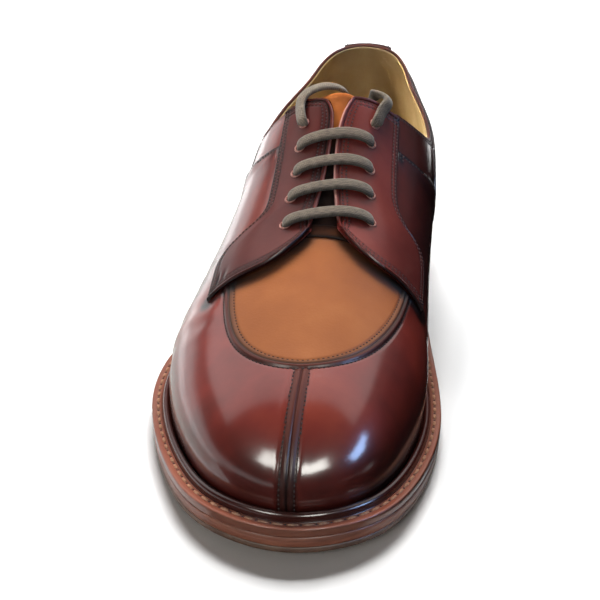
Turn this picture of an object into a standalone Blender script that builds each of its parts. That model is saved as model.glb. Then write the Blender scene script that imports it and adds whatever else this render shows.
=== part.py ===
import bpy
import bmesh
import numpy as np
from collections import namedtuple
from mathutils import Vector

for item in list(bpy.data.objects):
    bpy.data.objects.remove(item, do_unlink=True)

# Right derby shoe, toe towards -Y, outer side towards -X, standing on z = 0.
# Tables are in millimetres; t runs from the back of the sole to the toe.
MM = 0.001
SOLE_LENGTH = 299.0

# Last and sole sections: half widths of the feather line, welt overhang, height of the
# crown line, roundness of crown and wall, side bulges, and the crown line's own offset.
Section = namedtuple(
    "Section", "t lateral medial welt ridge crown wall bulge_lateral bulge_medial spine")
SECTIONS = (
    Section(3.5, 0.0, 0.0, 3.5, 158.0, 2.10, 2.50, 0.07, 0.07, 0.3),
    Section(10.0, 17.8, 17.5, 3.5, 136.0, 2.10, 2.50, 0.06, 0.06, 0.3),
    Section(27.0, 29.0, 28.5, 3.5, 111.0, 2.10, 2.50, 0.00, 0.04, 0.3),
    Section(55.0, 32.5, 32.0, 3.6, 108.5, 2.00, 2.40, 0.10, 0.16, 0.3),
    Section(88.0, 34.5, 32.5, 4.0, 117.0, 2.00, 2.20, 0.19, 0.27, 0.3),
    Section(118.0, 39.5, 33.0, 5.0, 103.0, 2.00, 2.10, 0.14, 0.32, 0.3),
    Section(148.0, 47.5, 35.5, 6.2, 83.5, 2.05, 2.00, 0.07, 0.26, 0.8),
    Section(175.0, 53.7, 39.3, 7.0, 71.0, 2.10, 1.95, 0.03, 0.18, 1.8),
    Section(200.0, 54.6, 42.6, 7.0, 61.5, 2.20, 1.95, 0.04, 0.12, 2.8),
    Section(220.0, 51.2, 43.6, 7.0, 55.0, 2.30, 2.00, 0.04, 0.10, 3.2),
    Section(241.0, 44.2, 41.6, 7.2, 48.7, 2.40, 2.10, 0.05, 0.05, 3.5),
    Section(261.0, 34.6, 36.6, 7.7, 44.2, 2.45, 2.25, 0.05, 0.05, 3.6),
    Section(276.0, 24.0, 29.0, 8.4, 41.2, 2.50, 2.35, 0.05, 0.05, 3.8),
    Section(286.0, 10.5, 17.5, 8.9, 39.2, 2.50, 2.40, 0.05, 0.05, 4.0),
    Section(290.0, -4.0, 4.0, 9.0, 38.4, 2.50, 2.40, 0.05, 0.05, 4.0),
)

# Underside of the sole: flat forefoot, arch up to the heel seat, and toe spring.
HEEL_HEIGHT = 21.2
HEEL_SEAT_T = 35.0
FLAT_BACK_T = 180.0
FLAT_FRONT_T = 222.0
TOE_SPRING = 3.8
STACK = 9.8

NORMAL_STEP = 0.002
BULGE_UNIT = 16.0

# The fan of sections turns about a spine that stops short of heel and toe.
SPINE_BACK_T = 36.0
SPINE_FRONT_T = 250.0
SPINE_SOFT = 22.0

# Height of the top line along the collar, on either side.
Collar = namedtuple("Collar", "t lateral medial")
COLLAR = (
    Collar(3.0, 95.0, 95.0),
    Collar(6.0, 94.5, 94.5),
    Collar(30.0, 90.3, 90.3),
    Collar(55.0, 85.3, 85.3),
    Collar(70.0, 81.0, 81.0),
    Collar(84.0, 77.4, 77.4),
    Collar(94.0, 78.0, 79.3),
    Collar(101.0, 80.2, 84.5),
    Collar(106.0, 84.0, 90.5),
    Collar(110.0, 91.0, 96.0),
    Collar(114.0, 96.5, 100.3),
    Collar(118.0, 101.0, 104.0),
    Collar(122.0, 105.0, 108.0),
)
# Sole layers, as heights above the underside.
LAYER_GAP = 0.15
SEAM_GAP = 0.3
OUTSOLE_TOP = 2.1
MIDSOLE_TOP = 6.1
WELT_TOP = STACK - SEAM_GAP
INSOLE_TOP = STACK + 1.2
WELT_INNER = -2.5
INSOLE_REACH = -3.0
MIDSOLE_REACH = -0.2
OUTSOLE_REACH = -0.4
HEEL_FOOT_REACH = -1.4
HEEL_BREAST_T = 82.0
HEEL_BREAST_RAKE = 2.0
WELT_FULL = 7.0

# Section through the storm welt: reach from the feather line, share of the overhang,
# height above the underside, and the bead's own height where the welt is full.
Rim = namedtuple("Rim", "reach share height bead")
WELT = (
    Rim(WELT_INNER, 0.0, MIDSOLE_TOP + LAYER_GAP, 0.0),
    Rim(0.0, 1.0, MIDSOLE_TOP + LAYER_GAP, 0.0),
    Rim(0.0, 1.0, WELT_TOP - 0.5, 0.0),
    Rim(-0.5, 1.0, WELT_TOP, 0.0),
    Rim(0.0, 0.52, WELT_TOP, 0.0),
    Rim(0.0, 0.47, WELT_TOP - 0.5, 0.0),
    Rim(0.0, 0.42, WELT_TOP, 0.2),
    Rim(0.0, 0.40, WELT_TOP, 1.2),
    Rim(0.0, 0.28, WELT_TOP, 2.0),
    Rim(0.3, 0.14, WELT_TOP, 2.0),
    Rim(0.6, 0.02, WELT_TOP, 1.3),
    Rim(0.6, 0.0, WELT_TOP, 0.0),
    Rim(WELT_INNER, 0.0, WELT_TOP, 0.0),
)

# Upper wall and its throat slot, which the facings cover.
WALL = 2.2
THROAT_FRONT_T = 181.0
THROAT_ROUND = 12.0
THROAT_HALF = 8.0

# Facings: the throat edge (t and half gap) and the outer edge (t and v), from top to front.
FACING_GAP = 0.5
FACING_THICK = 1.4
FRONT_FROM = 0.7
FRONT_BOW = 10.3
FRONT_LIFT = 2.0
Facing = namedtuple("Facing", "t edge_t gap outer_t outer_v")
FACINGS = {
    -1: (
        Facing(0, 119.5, 4.4, 112.0, 0.625),
        Facing(1, 126.0, 1.6, 118.0, 0.635),
        Facing(2, 135.0, 2.0, 130.0, 0.655),
        Facing(3, 145.0, 2.6, 143.0, 0.68),
        Facing(4, 156.0, 3.3, 157.0, 0.70),
        Facing(5, 166.0, 4.2, 167.5, 0.67),
        Facing(6, 175.0, 5.0, 175.0, 0.52),
        Facing(7, 183.0, 6.1, 187.5, 0.51),
        Facing(8, 190.0, 8.4, 202.0, 0.52),
    ),
    1: (
        Facing(0, 117.5, 4.0, 109.5, 0.59),
        Facing(1, 125.0, 1.1, 118.0, 0.585),
        Facing(2, 134.0, 1.1, 130.0, 0.583),
        Facing(3, 144.0, 1.5, 142.0, 0.58),
        Facing(4, 155.0, 2.4, 150.5, 0.56),
        Facing(5, 165.0, 3.4, 155.5, 0.49),
        Facing(6, 173.0, 4.2, 159.0, 0.40),
        Facing(7, 178.5, 5.8, 172.0, 0.38),
        Facing(8, 184.0, 8.2, 187.4, 0.385),
    ),
}

# Eyelets, from the top pair down: t and v on each side.
EYELET_RADIUS = 1.8
PUNCH_FOOT = -1.0
PUNCH_HEAD = 6.0
Eyelet = namedtuple("Eyelet", "lateral_t lateral_v medial_t medial_v")
EYELETS = (
    Eyelet(127.5, 0.805, 123.5, 0.741),
    Eyelet(138.6, 0.815, 132.8, 0.758),
    Eyelet(150.9, 0.831, 144.4, 0.756),
    Eyelet(164.2, 0.835, 156.0, 0.746),
    Eyelet(178.5, 0.841, 170.0, 0.738),
)

# Flat laces, and the path of each loose end from its top eyelet over into the shoe.
LACE_WIDTH = 5.0
LACE_THICK = 2.4
LACE_CLEAR = 0.4
LACE_BOW = 1.5
LACE_ROUND = 2.4
LACE_RIDE = FACING_GAP + FACING_THICK + LACE_CLEAR + LACE_THICK / 2
LacePoint = namedtuple("LacePoint", "x t z")
LACE_ENDS = {
    -1: (
        LacePoint(-14.8, 122.0, 99.5),
        LacePoint(-13.6, 118.0, 102.6),
        LacePoint(-11.2, 114.5, 104.8),
        LacePoint(-7.0, 110.0, 105.4),
        LacePoint(-2.4, 106.0, 104.0),
        LacePoint(0.8, 103.0, 100.5),
        LacePoint(2.0, 101.5, 94.5),
    ),
    1: (
        LacePoint(17.2, 120.5, 98.6),
        LacePoint(19.4, 115.5, 100.8),
        LacePoint(19.6, 110.5, 102.6),
        LacePoint(16.4, 106.0, 103.2),
        LacePoint(12.6, 102.0, 101.0),
        LacePoint(10.8, 100.0, 96.0),
    ),
}

# Tongue, under the throat.
TONGUE_THICK = 2.2
TONGUE_TOP_T = 113.5
TONGUE_FRONT_T = 192.0
TONGUE_EDGE_V = 0.72
TONGUE_GAP = 0.9

# Mesh fineness.
SOLE_STATIONS = 40
RING_STATIONS = 80
UPPER_STATIONS = 38
RISE_STATIONS = 8
RISE_BACK_T = 99.0
RISE_FRONT_T = 121.0
UPPER_ROWS = 13
FACING_ALONG = 19
FACING_ACROSS = 8
TONGUE_ALONG = 16
TONGUE_ACROSS = 6
LACE_STEPS = 14
LACE_SIDES = 10
HOLE_SIDES = 12
PROFILE_SAMPLES = 400
WELD = 2e-5
SHARP_ANGLE = np.radians(40)
SAMPLES_PER_SPAN = 40


def table_column(rows, name):
    return np.array([getattr(row, name) for row in rows])


def spline_bends(xs, ys):
    """Second derivatives of the natural cubic spline through a table column."""
    count = len(xs)
    gap = np.diff(xs)
    matrix = np.eye(count)
    right = np.zeros(count)
    for i in range(1, count - 1):
        matrix[i, i - 1:i + 2] = gap[i - 1], 2 * (gap[i - 1] + gap[i]), gap[i]
        right[i] = 6 * ((ys[i + 1] - ys[i]) / gap[i] - (ys[i] - ys[i - 1]) / gap[i - 1])
    return np.linalg.solve(matrix, right)


def spline_of(rows, name):
    """A function of t through one named column of a table."""
    xs = table_column(rows, "t")
    ys = table_column(rows, name)
    bends = spline_bends(xs, ys)
    gap = np.diff(xs)

    def value(t):
        at = np.clip(np.asarray(t, float), xs[0], xs[-1])
        i = np.clip(np.searchsorted(xs, at, side="right") - 1, 0, len(gap) - 1)
        left, right = xs[i + 1] - at, at - xs[i]
        cubic = (bends[i] * left ** 3 + bends[i + 1] * right ** 3) / (6 * gap[i])
        return (cubic + (ys[i] / gap[i] - bends[i] * gap[i] / 6) * left
                + (ys[i + 1] / gap[i] - bends[i + 1] * gap[i] / 6) * right)
    return value


SHAPE = {name: spline_of(SECTIONS, name) for name in Section._fields if name != "t"}
COLLAR_HEIGHT = {-1: spline_of(COLLAR, "lateral"), 1: spline_of(COLLAR, "medial")}


def closed_curve(points):
    """Smooth closed curve through the outline points."""
    points = np.asarray(points, float)
    count = len(points)
    step = np.linalg.norm(np.roll(points, -1, 0) - points, axis=1) ** 0.5
    matrix = np.zeros((count, count))
    right = np.zeros((count, 2))
    for i in range(count):
        j = (i + 1) % count
        matrix[i, i - 1] += step[i - 1]
        matrix[i, i] += 2 * (step[i - 1] + step[i])
        matrix[i, j] += step[i]
        right[i] = 6 * ((points[j] - points[i]) / step[i] - (points[i] - points[i - 1]) / step[i - 1])
    bends = np.linalg.solve(matrix, right)
    q = np.linspace(0, 1, SAMPLES_PER_SPAN, endpoint=False)[:, None]
    spans = []
    for i in range(count):
        j = (i + 1) % count
        scale = step[i] ** 2 / 6
        spans.append((bends[i] * (1 - q) ** 3 + bends[j] * q ** 3) * scale
                     + (points[i] - bends[i] * scale) * (1 - q) + (points[j] - bends[j] * scale) * q)
    return np.concatenate(spans)


def feather_line():
    lateral = [(-row.lateral, row.t) for row in SECTIONS]
    medial = [(row.medial, row.t) for row in SECTIONS[1:-1]]
    return closed_curve(lateral + medial[::-1])


FEATHER = feather_line()
HALF = (len(SECTIONS) - 1) * SAMPLES_PER_SPAN
EDGE = {-1: FEATHER[:HALF + 1], 1: np.concatenate([FEATHER[HALF:], FEATHER[:1]])[::-1]}


def arc_share(line):
    run = np.concatenate([[0], np.cumsum(np.linalg.norm(np.diff(line, axis=0), axis=1))])
    return run / run[-1]


SHARE = {side: arc_share(line) for side, line in EDGE.items()}


def base_point(side, u):
    """Point of the feather line at share u of the way from heel to toe."""
    return np.stack([np.interp(u, SHARE[side], EDGE[side][:, k]) for k in (0, 1)], -1)


def share_at(side, t):
    return np.interp(t, np.maximum.accumulate(EDGE[side][:, 1]), SHARE[side])


def under_height(t):
    """Height of the sole's underside above the floor."""
    q = np.clip((FLAT_BACK_T - t) / (FLAT_BACK_T - HEEL_SEAT_T), 0, 1)
    w = np.clip((t - FLAT_FRONT_T) / (SOLE_LENGTH - FLAT_FRONT_T), 0, None)
    return HEEL_HEIGHT * q * q * (3 - 2 * q) + TOE_SPRING * w * w


def soft_min(a, b):
    return 0.5 * (a + b - np.sqrt((a - b) ** 2 + SPINE_SOFT ** 2))


def soft_max(a, b):
    return 0.5 * (a + b + np.sqrt((a - b) ** 2 + SPINE_SOFT ** 2))


def spine_point(t):
    at = soft_min(soft_max(t, SPINE_BACK_T), SPINE_FRONT_T)
    return np.stack([SHAPE["spine"](at), at], -1)


def skin(side, u, v):
    """Outer surface of the last: v is 0 at the feather line and 1 at the crown."""
    u, v = np.broadcast_arrays(np.asarray(u, float), np.asarray(v, float))
    base = base_point(side, u)
    t = base[..., 1]
    spine = spine_point(t)
    angle = np.clip(v, 0, 1) * np.pi / 2
    rise = np.sin(angle) ** (2 / SHAPE["wall"](t))
    reach = np.clip(np.cos(angle), 0, 1) ** (2 / SHAPE["crown"](t))
    bulge = SHAPE["bulge_lateral" if side < 0 else "bulge_medial"](t)
    reach = reach + bulge * BULGE_UNIT * rise ** 2 * (1 - rise) ** 2
    plan = spine + (base - spine) * reach[..., None]
    low = under_height(t) + STACK
    height = low + (SHAPE["ridge"](plan[..., 1]) - low) * rise
    return np.concatenate([plan, height[..., None]], -1)


def lifted(side, u, v, lift):
    """Point at a distance outside the last's surface, measured along its normal."""
    u, v = np.broadcast_arrays(np.asarray(u, float), np.asarray(v, float))
    along = skin(side, np.clip(u + NORMAL_STEP, 0, 1), v) - skin(side, np.clip(u - NORMAL_STEP, 0, 1), v)
    across = skin(side, u, np.clip(v + NORMAL_STEP, 0, 1)) - skin(side, u, np.clip(v - NORMAL_STEP, 0, 1))
    normal = np.cross(along, across) * side
    normal /= np.linalg.norm(normal, axis=-1, keepdims=True)
    return skin(side, u, v) + normal * np.asarray(lift)[..., None]


def outline(reach, share):
    """Feather line moved outwards by reach plus a share of the welt's overhang."""
    ahead = np.roll(FEATHER, -1, 0) - np.roll(FEATHER, 1, 0)
    out = np.stack([-ahead[:, 1], ahead[:, 0]], -1) / np.linalg.norm(ahead, axis=1)[:, None]
    move = reach + share * SHAPE["welt"](FEATHER[:, 1])
    return FEATHER + out * move[:, None]


SOLE_EDGE = outline(0.0, 1.0)
MIDDLE_X = 0.5 * (SOLE_EDGE[:, 0].min() + SOLE_EDGE[:, 0].max())


def world(points):
    """Table coordinates (x, t, z) to metres in the shoe's frame."""
    points = np.asarray(points, float)
    moved = [points[..., 0] - MIDDLE_X, SOLE_LENGTH / 2 - points[..., 1], points[..., 2]]
    return np.stack(moved, -1) * MM


def new_collection(name):
    group = bpy.data.collections.new(name)
    bpy.context.scene.collection.children.link(group)
    return group


SHOE = new_collection("derby_shoe")
CUTTERS = new_collection("cutters")


def material(name, colour, roughness):
    made = bpy.data.materials.new(name)
    made.use_nodes = True
    shader = made.node_tree.nodes["Principled BSDF"]
    shader.inputs["Base Color"].default_value = (*colour, 1.0)
    shader.inputs["Roughness"].default_value = roughness
    return made


BURGUNDY = material("burgundy_leather", (0.085, 0.018, 0.016), 0.30)
TAN = material("tan_leather", (0.42, 0.12, 0.035), 0.45)
WELT_BROWN = material("welt_leather", (0.075, 0.028, 0.017), 0.45)
SOLE_BROWN = material("sole_leather", (0.16, 0.05, 0.025), 0.50)
RUBBER = material("dark_rubber", (0.022, 0.014, 0.012), 0.70)
LINING = material("lining_leather", (0.36, 0.25, 0.11), 0.60)
LACE = material("lace_cord", (0.13, 0.10, 0.075), 0.85)


def add_object(name, mesh, skin_material, group=SHOE):
    made = bpy.data.objects.new(name, mesh)
    if skin_material:
        mesh.materials.append(skin_material)
    group.objects.link(made)
    return made


def weld(name, verts, faces):
    """Mesh from points in metres, with points that coincide made one."""
    mesh = bpy.data.meshes.new(name)
    mesh.from_pydata([tuple(p) for p in verts], [], faces)
    work = bmesh.new()
    work.from_mesh(mesh)
    bmesh.ops.remove_doubles(work, verts=work.verts, dist=WELD)
    bmesh.ops.dissolve_degenerate(work, edges=work.edges, dist=WELD)
    bmesh.ops.recalc_face_normals(work, faces=work.faces)
    work.to_mesh(mesh)
    work.free()
    mesh.shade_smooth()
    mesh.set_sharp_from_angle(angle=SHARP_ANGLE)
    return mesh


def grid_faces(rows, columns, start=0):
    faces = []
    for i in range(rows - 1):
        for j in range(columns - 1):
            a = start + i * columns + j
            faces.append((a, a + 1, a + columns + 1, a + columns))
    return faces


def ring_faces(rings, sides, close):
    """Faces of a tube of rings: closed on itself, or with its two ends capped."""
    faces = []
    for i in range(rings if close else rings - 1):
        for j in range(sides):
            a, b = i * sides, (i + 1) % rings * sides
            k = (j + 1) % sides
            faces.append((a + j, a + k, b + k, b + j))
    if not close:
        last = (rings - 1) * sides
        faces.append(tuple(range(sides)))
        faces.append(tuple(range(last, last + sides)))
    return faces


def eased(count):
    """Shares from 0 to 1, closer together at both ends."""
    return 0.5 - 0.5 * np.cos(np.linspace(0, np.pi, count))


def halves(line):
    """Outer and inner halves of a closed outline, each running from heel to toe."""
    line = np.roll(line, -line[:, 1].argmin(), 0)
    front = line[:, 1].argmax()
    return line[:front + 1], np.concatenate([line[front:], line[:1]])[::-1]


def widths(line, stations):
    """Outer and inner x of a closed outline at the given t."""
    return [np.interp(stations, np.maximum.accumulate(half[:, 1]), half[:, 0]) for half in halves(line)]


def layer_solid(name, low_line, low_t, low_z, high_line, high_t, high_z, skin_material):
    """Solid between two outlines, made of straight bands across the sole."""
    low_left, low_right = widths(low_line, low_t)
    high_left, high_right = widths(high_line, high_t)
    rings = np.stack([
        np.stack([low_left, low_t, low_z], -1),
        np.stack([low_right, low_t, low_z], -1),
        np.stack([high_right, high_t, high_z], -1),
        np.stack([high_left, high_t, high_z], -1),
    ], 1)
    count = len(rings)
    faces = ring_faces(count, rings.shape[1], False)
    return add_object(name, weld(name, world(rings).reshape(-1, 3), faces), skin_material)


def sole_layer(name, reach, share, low, high, skin_material):
    """Layer of even thickness that follows the underside."""
    line = outline(reach, share)
    stations = line[:, 1].min() + np.ptp(line[:, 1]) * eased(SOLE_STATIONS)
    rise = under_height(stations)
    return layer_solid(name, line, stations, rise + low, line, stations, rise + high, skin_material)


# Thin rubber outsole, leather midsole and insole.
sole_layer("outsole", OUTSOLE_REACH, 1.0, 0.0, OUTSOLE_TOP, RUBBER)
sole_layer("midsole", MIDSOLE_REACH, 1.0, OUTSOLE_TOP + LAYER_GAP, MIDSOLE_TOP, SOLE_BROWN)
sole_layer("insole", INSOLE_REACH, 0.0, MIDSOLE_TOP + LAYER_GAP, INSOLE_TOP, LINING)


def build_heel():
    """Stacked heel: flat on the floor, tapered a little, its breast raked."""
    top_line = outline(OUTSOLE_REACH, 1.0)
    foot_line = outline(HEEL_FOOT_REACH, 1.0)
    run = 2 * eased(2 * SOLE_STATIONS - 1)[:SOLE_STATIONS]
    top_t = top_line[:, 1].min() + (HEEL_BREAST_T - top_line[:, 1].min()) * run
    foot_end = HEEL_BREAST_T - HEEL_BREAST_RAKE
    foot_t = foot_line[:, 1].min() + (foot_end - foot_line[:, 1].min()) * run
    top_z = under_height(top_t) - LAYER_GAP
    return layer_solid("heel", foot_line, foot_t, np.zeros_like(foot_t), top_line, top_t, top_z, SOLE_BROWN)


build_heel()


def build_welt():
    """Storm welt: one ring around the shoe with a rolled bead against the upper."""
    run = arc_share(np.concatenate([FEATHER, FEATHER[:1]]))[:-1]
    pick = np.searchsorted(run, np.arange(RING_STATIONS) / RING_STATIONS)
    overhang = SHAPE["welt"](FEATHER[:, 1])
    columns = []
    for row in WELT:
        line = outline(row.reach, row.share)
        z = under_height(line[:, 1]) + row.height + row.bead * overhang / WELT_FULL
        columns.append(np.concatenate([line, z[:, None]], -1)[pick])
    rings = np.stack(columns, 1)
    faces = ring_faces(RING_STATIONS, len(WELT), True)
    return add_object("welt", weld("welt", world(rings).reshape(-1, 3), faces), WELT_BROWN)


build_welt()


def gap_v(side, u, half_gap):
    """v at a plan distance from the crown line."""
    base = base_point(side, u)
    t = base[..., 1]
    full = np.linalg.norm(base - spine_point(t), axis=-1)
    return np.arccos(np.clip(half_gap / full, 0, 1) ** (SHAPE["crown"](t) / 2)) * 2 / np.pi


def top_v(side, u):
    """v where a section meets the top line, or 1 where it doesn't."""
    v = np.linspace(0, 1, PROFILE_SAMPLES)
    points = skin(side, u, v)
    over = points[:, 2] - COLLAR_HEIGHT[side](points[:, 1])
    over[points[:, 1] > COLLAR[-1].t] = -1
    k = int(np.argmax(over > 0))
    if over[k] <= 0:
        return 1.0
    return v[k - 1] + (v[k] - v[k - 1]) * over[k - 1] / (over[k - 1] - over[k])


def throat_half(t):
    """Half width of the upper's slot, rounded off at its front."""
    q = np.clip((t - THROAT_FRONT_T + THROAT_ROUND) / THROAT_ROUND, 0, 1)
    return THROAT_HALF * np.sqrt(1 - q * q)


def edge_v(side, u):
    """v where the upper stops: top line, throat slot, or the crown."""
    t = float(spine_point(base_point(side, u)[1])[1])
    return min(top_v(side, u), float(gap_v(side, u, throat_half(t))))


def facing_out(mesh, centre):
    """Turn an open surface so that its faces look away from a point."""
    total = sum((f.center - centre).dot(f.normal) * f.area for f in mesh.polygons)
    if total < 0:
        mesh.flip_normals()


def add_shell(made, thickness, offset):
    shell = made.modifiers.new("wall", "SOLIDIFY")
    shell.thickness = thickness * MM
    shell.offset = offset
    shell.use_quality_normals = True
    return made


def build_upper():
    """Vamp and quarters in one shell, open at collar, throat and underneath."""
    stations = SECTIONS[0].t + (SECTIONS[-1].t - SECTIONS[0].t) * eased(UPPER_STATIONS)
    apart = np.ptp(stations) / UPPER_STATIONS / 2
    rise = np.linspace(RISE_BACK_T, RISE_FRONT_T, RISE_STATIONS)
    clear = (stations < RISE_BACK_T - apart) | (stations > RISE_FRONT_T + apart)
    stations = np.sort(np.concatenate([stations[clear], rise]))
    verts, faces = [], []
    for side in (-1, 1):
        shares = share_at(side, stations)
        shares[0], shares[-1] = 0.0, 1.0
        tops = np.array([edge_v(side, u) for u in shares])
        v = tops[:, None] * np.linspace(0, 1, UPPER_ROWS)
        points = world(skin(side, shares[:, None], v))
        faces += grid_faces(len(stations), UPPER_ROWS, len(verts))
        verts += list(points.reshape(-1, 3))
    mesh = weld("upper", verts, faces)
    facing_out(mesh, Vector((0.0, 0.0, STACK * MM)))
    return add_shell(add_object("upper", mesh, BURGUNDY), WALL, -1)


build_upper()


def facing_points(side, lift):
    """Grid over one facing, from its throat edge outwards and from top to front."""
    rows = FACINGS[side]
    at = np.linspace(0, len(rows) - 1, FACING_ALONG)
    column = {name: spline_of(rows, name)(at) for name in Facing._fields if name != "t"}
    share = share_at(side, column["edge_t"])
    inner_v = gap_v(side, share, column["gap"])
    inner_v = np.minimum(inner_v, [top_v(side, u) for u in share])
    q = np.linspace(0, 1, FACING_ACROSS)
    front = np.clip((at / at[-1] - FRONT_FROM) / (1 - FRONT_FROM), 0, 1)[:, None]
    t = column["edge_t"][:, None] * (1 - q) + column["outer_t"][:, None] * q
    t = t + FRONT_BOW * 4 * q * (1 - q) * front
    v = inner_v[:, None] * (1 - q) + column["outer_v"][:, None] * q
    u = share_at(side, t)
    v = np.minimum(v, np.vectorize(lambda one: top_v(side, one))(u))
    raised = lift + FRONT_LIFT * front ** 2 * (1 - q) ** 2
    return lifted(side, u, v, raised)


def eyelet_spots(side):
    names = ("lateral_t", "lateral_v") if side < 0 else ("medial_t", "medial_v")
    t, v = (table_column(EYELETS, name) for name in names)
    return share_at(side, t), v


def build_eyelet_cutter(side, name):
    """Punches through a facing at its eyelets."""
    u, v = eyelet_spots(side)
    low = lifted(side, u, v, np.full(len(v), PUNCH_FOOT))
    high = lifted(side, u, v, np.full(len(v), PUNCH_HEAD))
    turn = np.linspace(0, 2 * np.pi, HOLE_SIDES, endpoint=False)
    verts, faces = [], []
    for foot, head in zip(low, high):
        axis = (head - foot) / np.linalg.norm(head - foot)
        one = np.cross(axis, (0.0, 1.0, 0.0))
        one /= np.linalg.norm(one)
        two = np.cross(axis, one)
        circle = EYELET_RADIUS * (np.cos(turn)[:, None] * one + np.sin(turn)[:, None] * two)
        start = len(verts)
        verts += list(world(foot + circle)) + list(world(head + circle))
        faces += [tuple(start + k for k in face) for face in ring_faces(2, HOLE_SIDES, False)]
    cutter = add_object(name, weld(name, verts, faces), None, CUTTERS)
    cutter.hide_render = True
    cutter.display_type = "WIRE"
    return cutter


def build_facing(side, name):
    points = facing_points(side, FACING_GAP)
    mesh = weld(name, world(points).reshape(-1, 3), grid_faces(FACING_ALONG, FACING_ACROSS))
    facing_out(mesh, Vector((0.0, 0.0, 0.0)))
    made = add_shell(add_object(name, mesh, BURGUNDY), FACING_THICK, 1)
    punch = made.modifiers.new("eyelets", "BOOLEAN")
    punch.operation = "DIFFERENCE"
    punch.solver = "EXACT"
    punch.object = build_eyelet_cutter(side, name + "_eyelets")
    return made


build_facing(-1, "facing_lateral")
build_facing(1, "facing_medial")


def build_tongue():
    """Tongue that lies under the throat and stands up to the top line."""
    stations = np.linspace(TONGUE_TOP_T, TONGUE_FRONT_T, TONGUE_ALONG)
    verts, faces = [], []
    for side in (-1, 1):
        u = share_at(side, stations)[:, None]
        v = np.linspace(1, TONGUE_EDGE_V, TONGUE_ACROSS)[None, :]
        points = lifted(side, u, v, np.full((TONGUE_ALONG, TONGUE_ACROSS), -(WALL + TONGUE_GAP)))
        faces += grid_faces(TONGUE_ALONG, TONGUE_ACROSS, len(verts))
        verts += list(world(points).reshape(-1, 3))
    mesh = weld("tongue", verts, faces)
    facing_out(mesh, Vector((0.0, 0.0, 0.0)))
    return add_shell(add_object("tongue", mesh, TAN), TONGUE_THICK, -1)


build_tongue()


def smooth_path(points, count):
    """Evenly spaced points on a smooth curve through the given ones."""
    points = np.asarray(points, float)
    knots = np.arange(len(points), dtype=float)
    rows = [LacePoint(*p) for p in points]
    fine = np.linspace(0, knots[-1], PROFILE_SAMPLES)
    dense = []
    for name in LacePoint._fields:
        ys = table_column(rows, name)
        bends = spline_bends(knots, ys)
        i = np.clip(fine.astype(int), 0, len(knots) - 2)
        b = fine - i
        a = 1 - b
        dense.append(a * ys[i] + b * ys[i + 1] + ((a ** 3 - a) * bends[i] + (b ** 3 - b) * bends[i + 1]) / 6)
    dense = np.stack(dense, -1)
    share = arc_share(dense)
    return np.stack([np.interp(np.linspace(0, 1, count), share, dense[:, k]) for k in range(3)], -1)


def lace_solid(name, path, up, width, thick):
    """Rounded flat cord along a path, its flat side turned to the up directions."""
    ahead = np.gradient(path, axis=0)
    ahead /= np.linalg.norm(ahead, axis=1)[:, None]
    wide = np.cross(ahead, up)
    wide /= np.linalg.norm(wide, axis=1)[:, None]
    tall = np.cross(wide, ahead)
    turn = np.linspace(0, 2 * np.pi, LACE_SIDES, endpoint=False)
    across = np.sign(np.cos(turn)) * np.abs(np.cos(turn)) ** (2 / LACE_ROUND) * width / 2
    above = np.sign(np.sin(turn)) * np.abs(np.sin(turn)) ** (2 / LACE_ROUND) * thick / 2
    rings = path[:, None] + across[:, None] * wide[:, None] + above[:, None] * tall[:, None]
    faces = ring_faces(len(path), LACE_SIDES, False)
    return add_object(name, weld(name, world(rings).reshape(-1, 3), faces), LACE)


def build_bar(name, eyelet):
    """Lace bar from one eyelet across the throat to its partner."""
    runs, ups = [], []
    for side, t, v in ((-1, eyelet.lateral_t, eyelet.lateral_v), (1, eyelet.medial_t, eyelet.medial_v)):
        mid_t = 0.5 * (eyelet.lateral_t + eyelet.medial_t)
        q = np.linspace(0, 1, LACE_STEPS // 2)
        u = share_at(side, t + (mid_t - t) * q)
        rows = v + (1 - v) * q
        bow = LACE_RIDE + LACE_BOW * q * (2 - q)
        near, far = lifted(side, u, rows, bow), lifted(side, u, rows, bow + 1)
        step = slice(None, -1) if side < 0 else slice(None, None, -1)
        runs.append(near[step])
        ups.append((far - near)[step])
    path, up = np.concatenate(runs), np.concatenate(ups)
    return lace_solid(name, path, up, LACE_WIDTH, LACE_THICK)


for number, eyelet in enumerate(EYELETS[1:], start=1):
    build_bar("lace_bar_%d" % number, eyelet)


def build_lace_end(side, name):
    """Loose end, from its top eyelet over the top line and down inside the shoe."""
    u, v = eyelet_spots(side)
    start = lifted(side, u[0], v[0], LACE_RIDE)
    path = smooth_path([LacePoint(*start)] + list(LACE_ENDS[side]), LACE_STEPS)
    inside = np.array([0.0, path[:, 1].min(), path[:, 2].min()])
    return lace_solid(name, path, path - inside, LACE_WIDTH, LACE_THICK)


build_lace_end(-1, "lace_end_lateral")
build_lace_end(1, "lace_end_medial")
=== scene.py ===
from collections import namedtuple

import bpy
import numpy as np
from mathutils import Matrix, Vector
from mathutils.bvhtree import BVHTree

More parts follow.
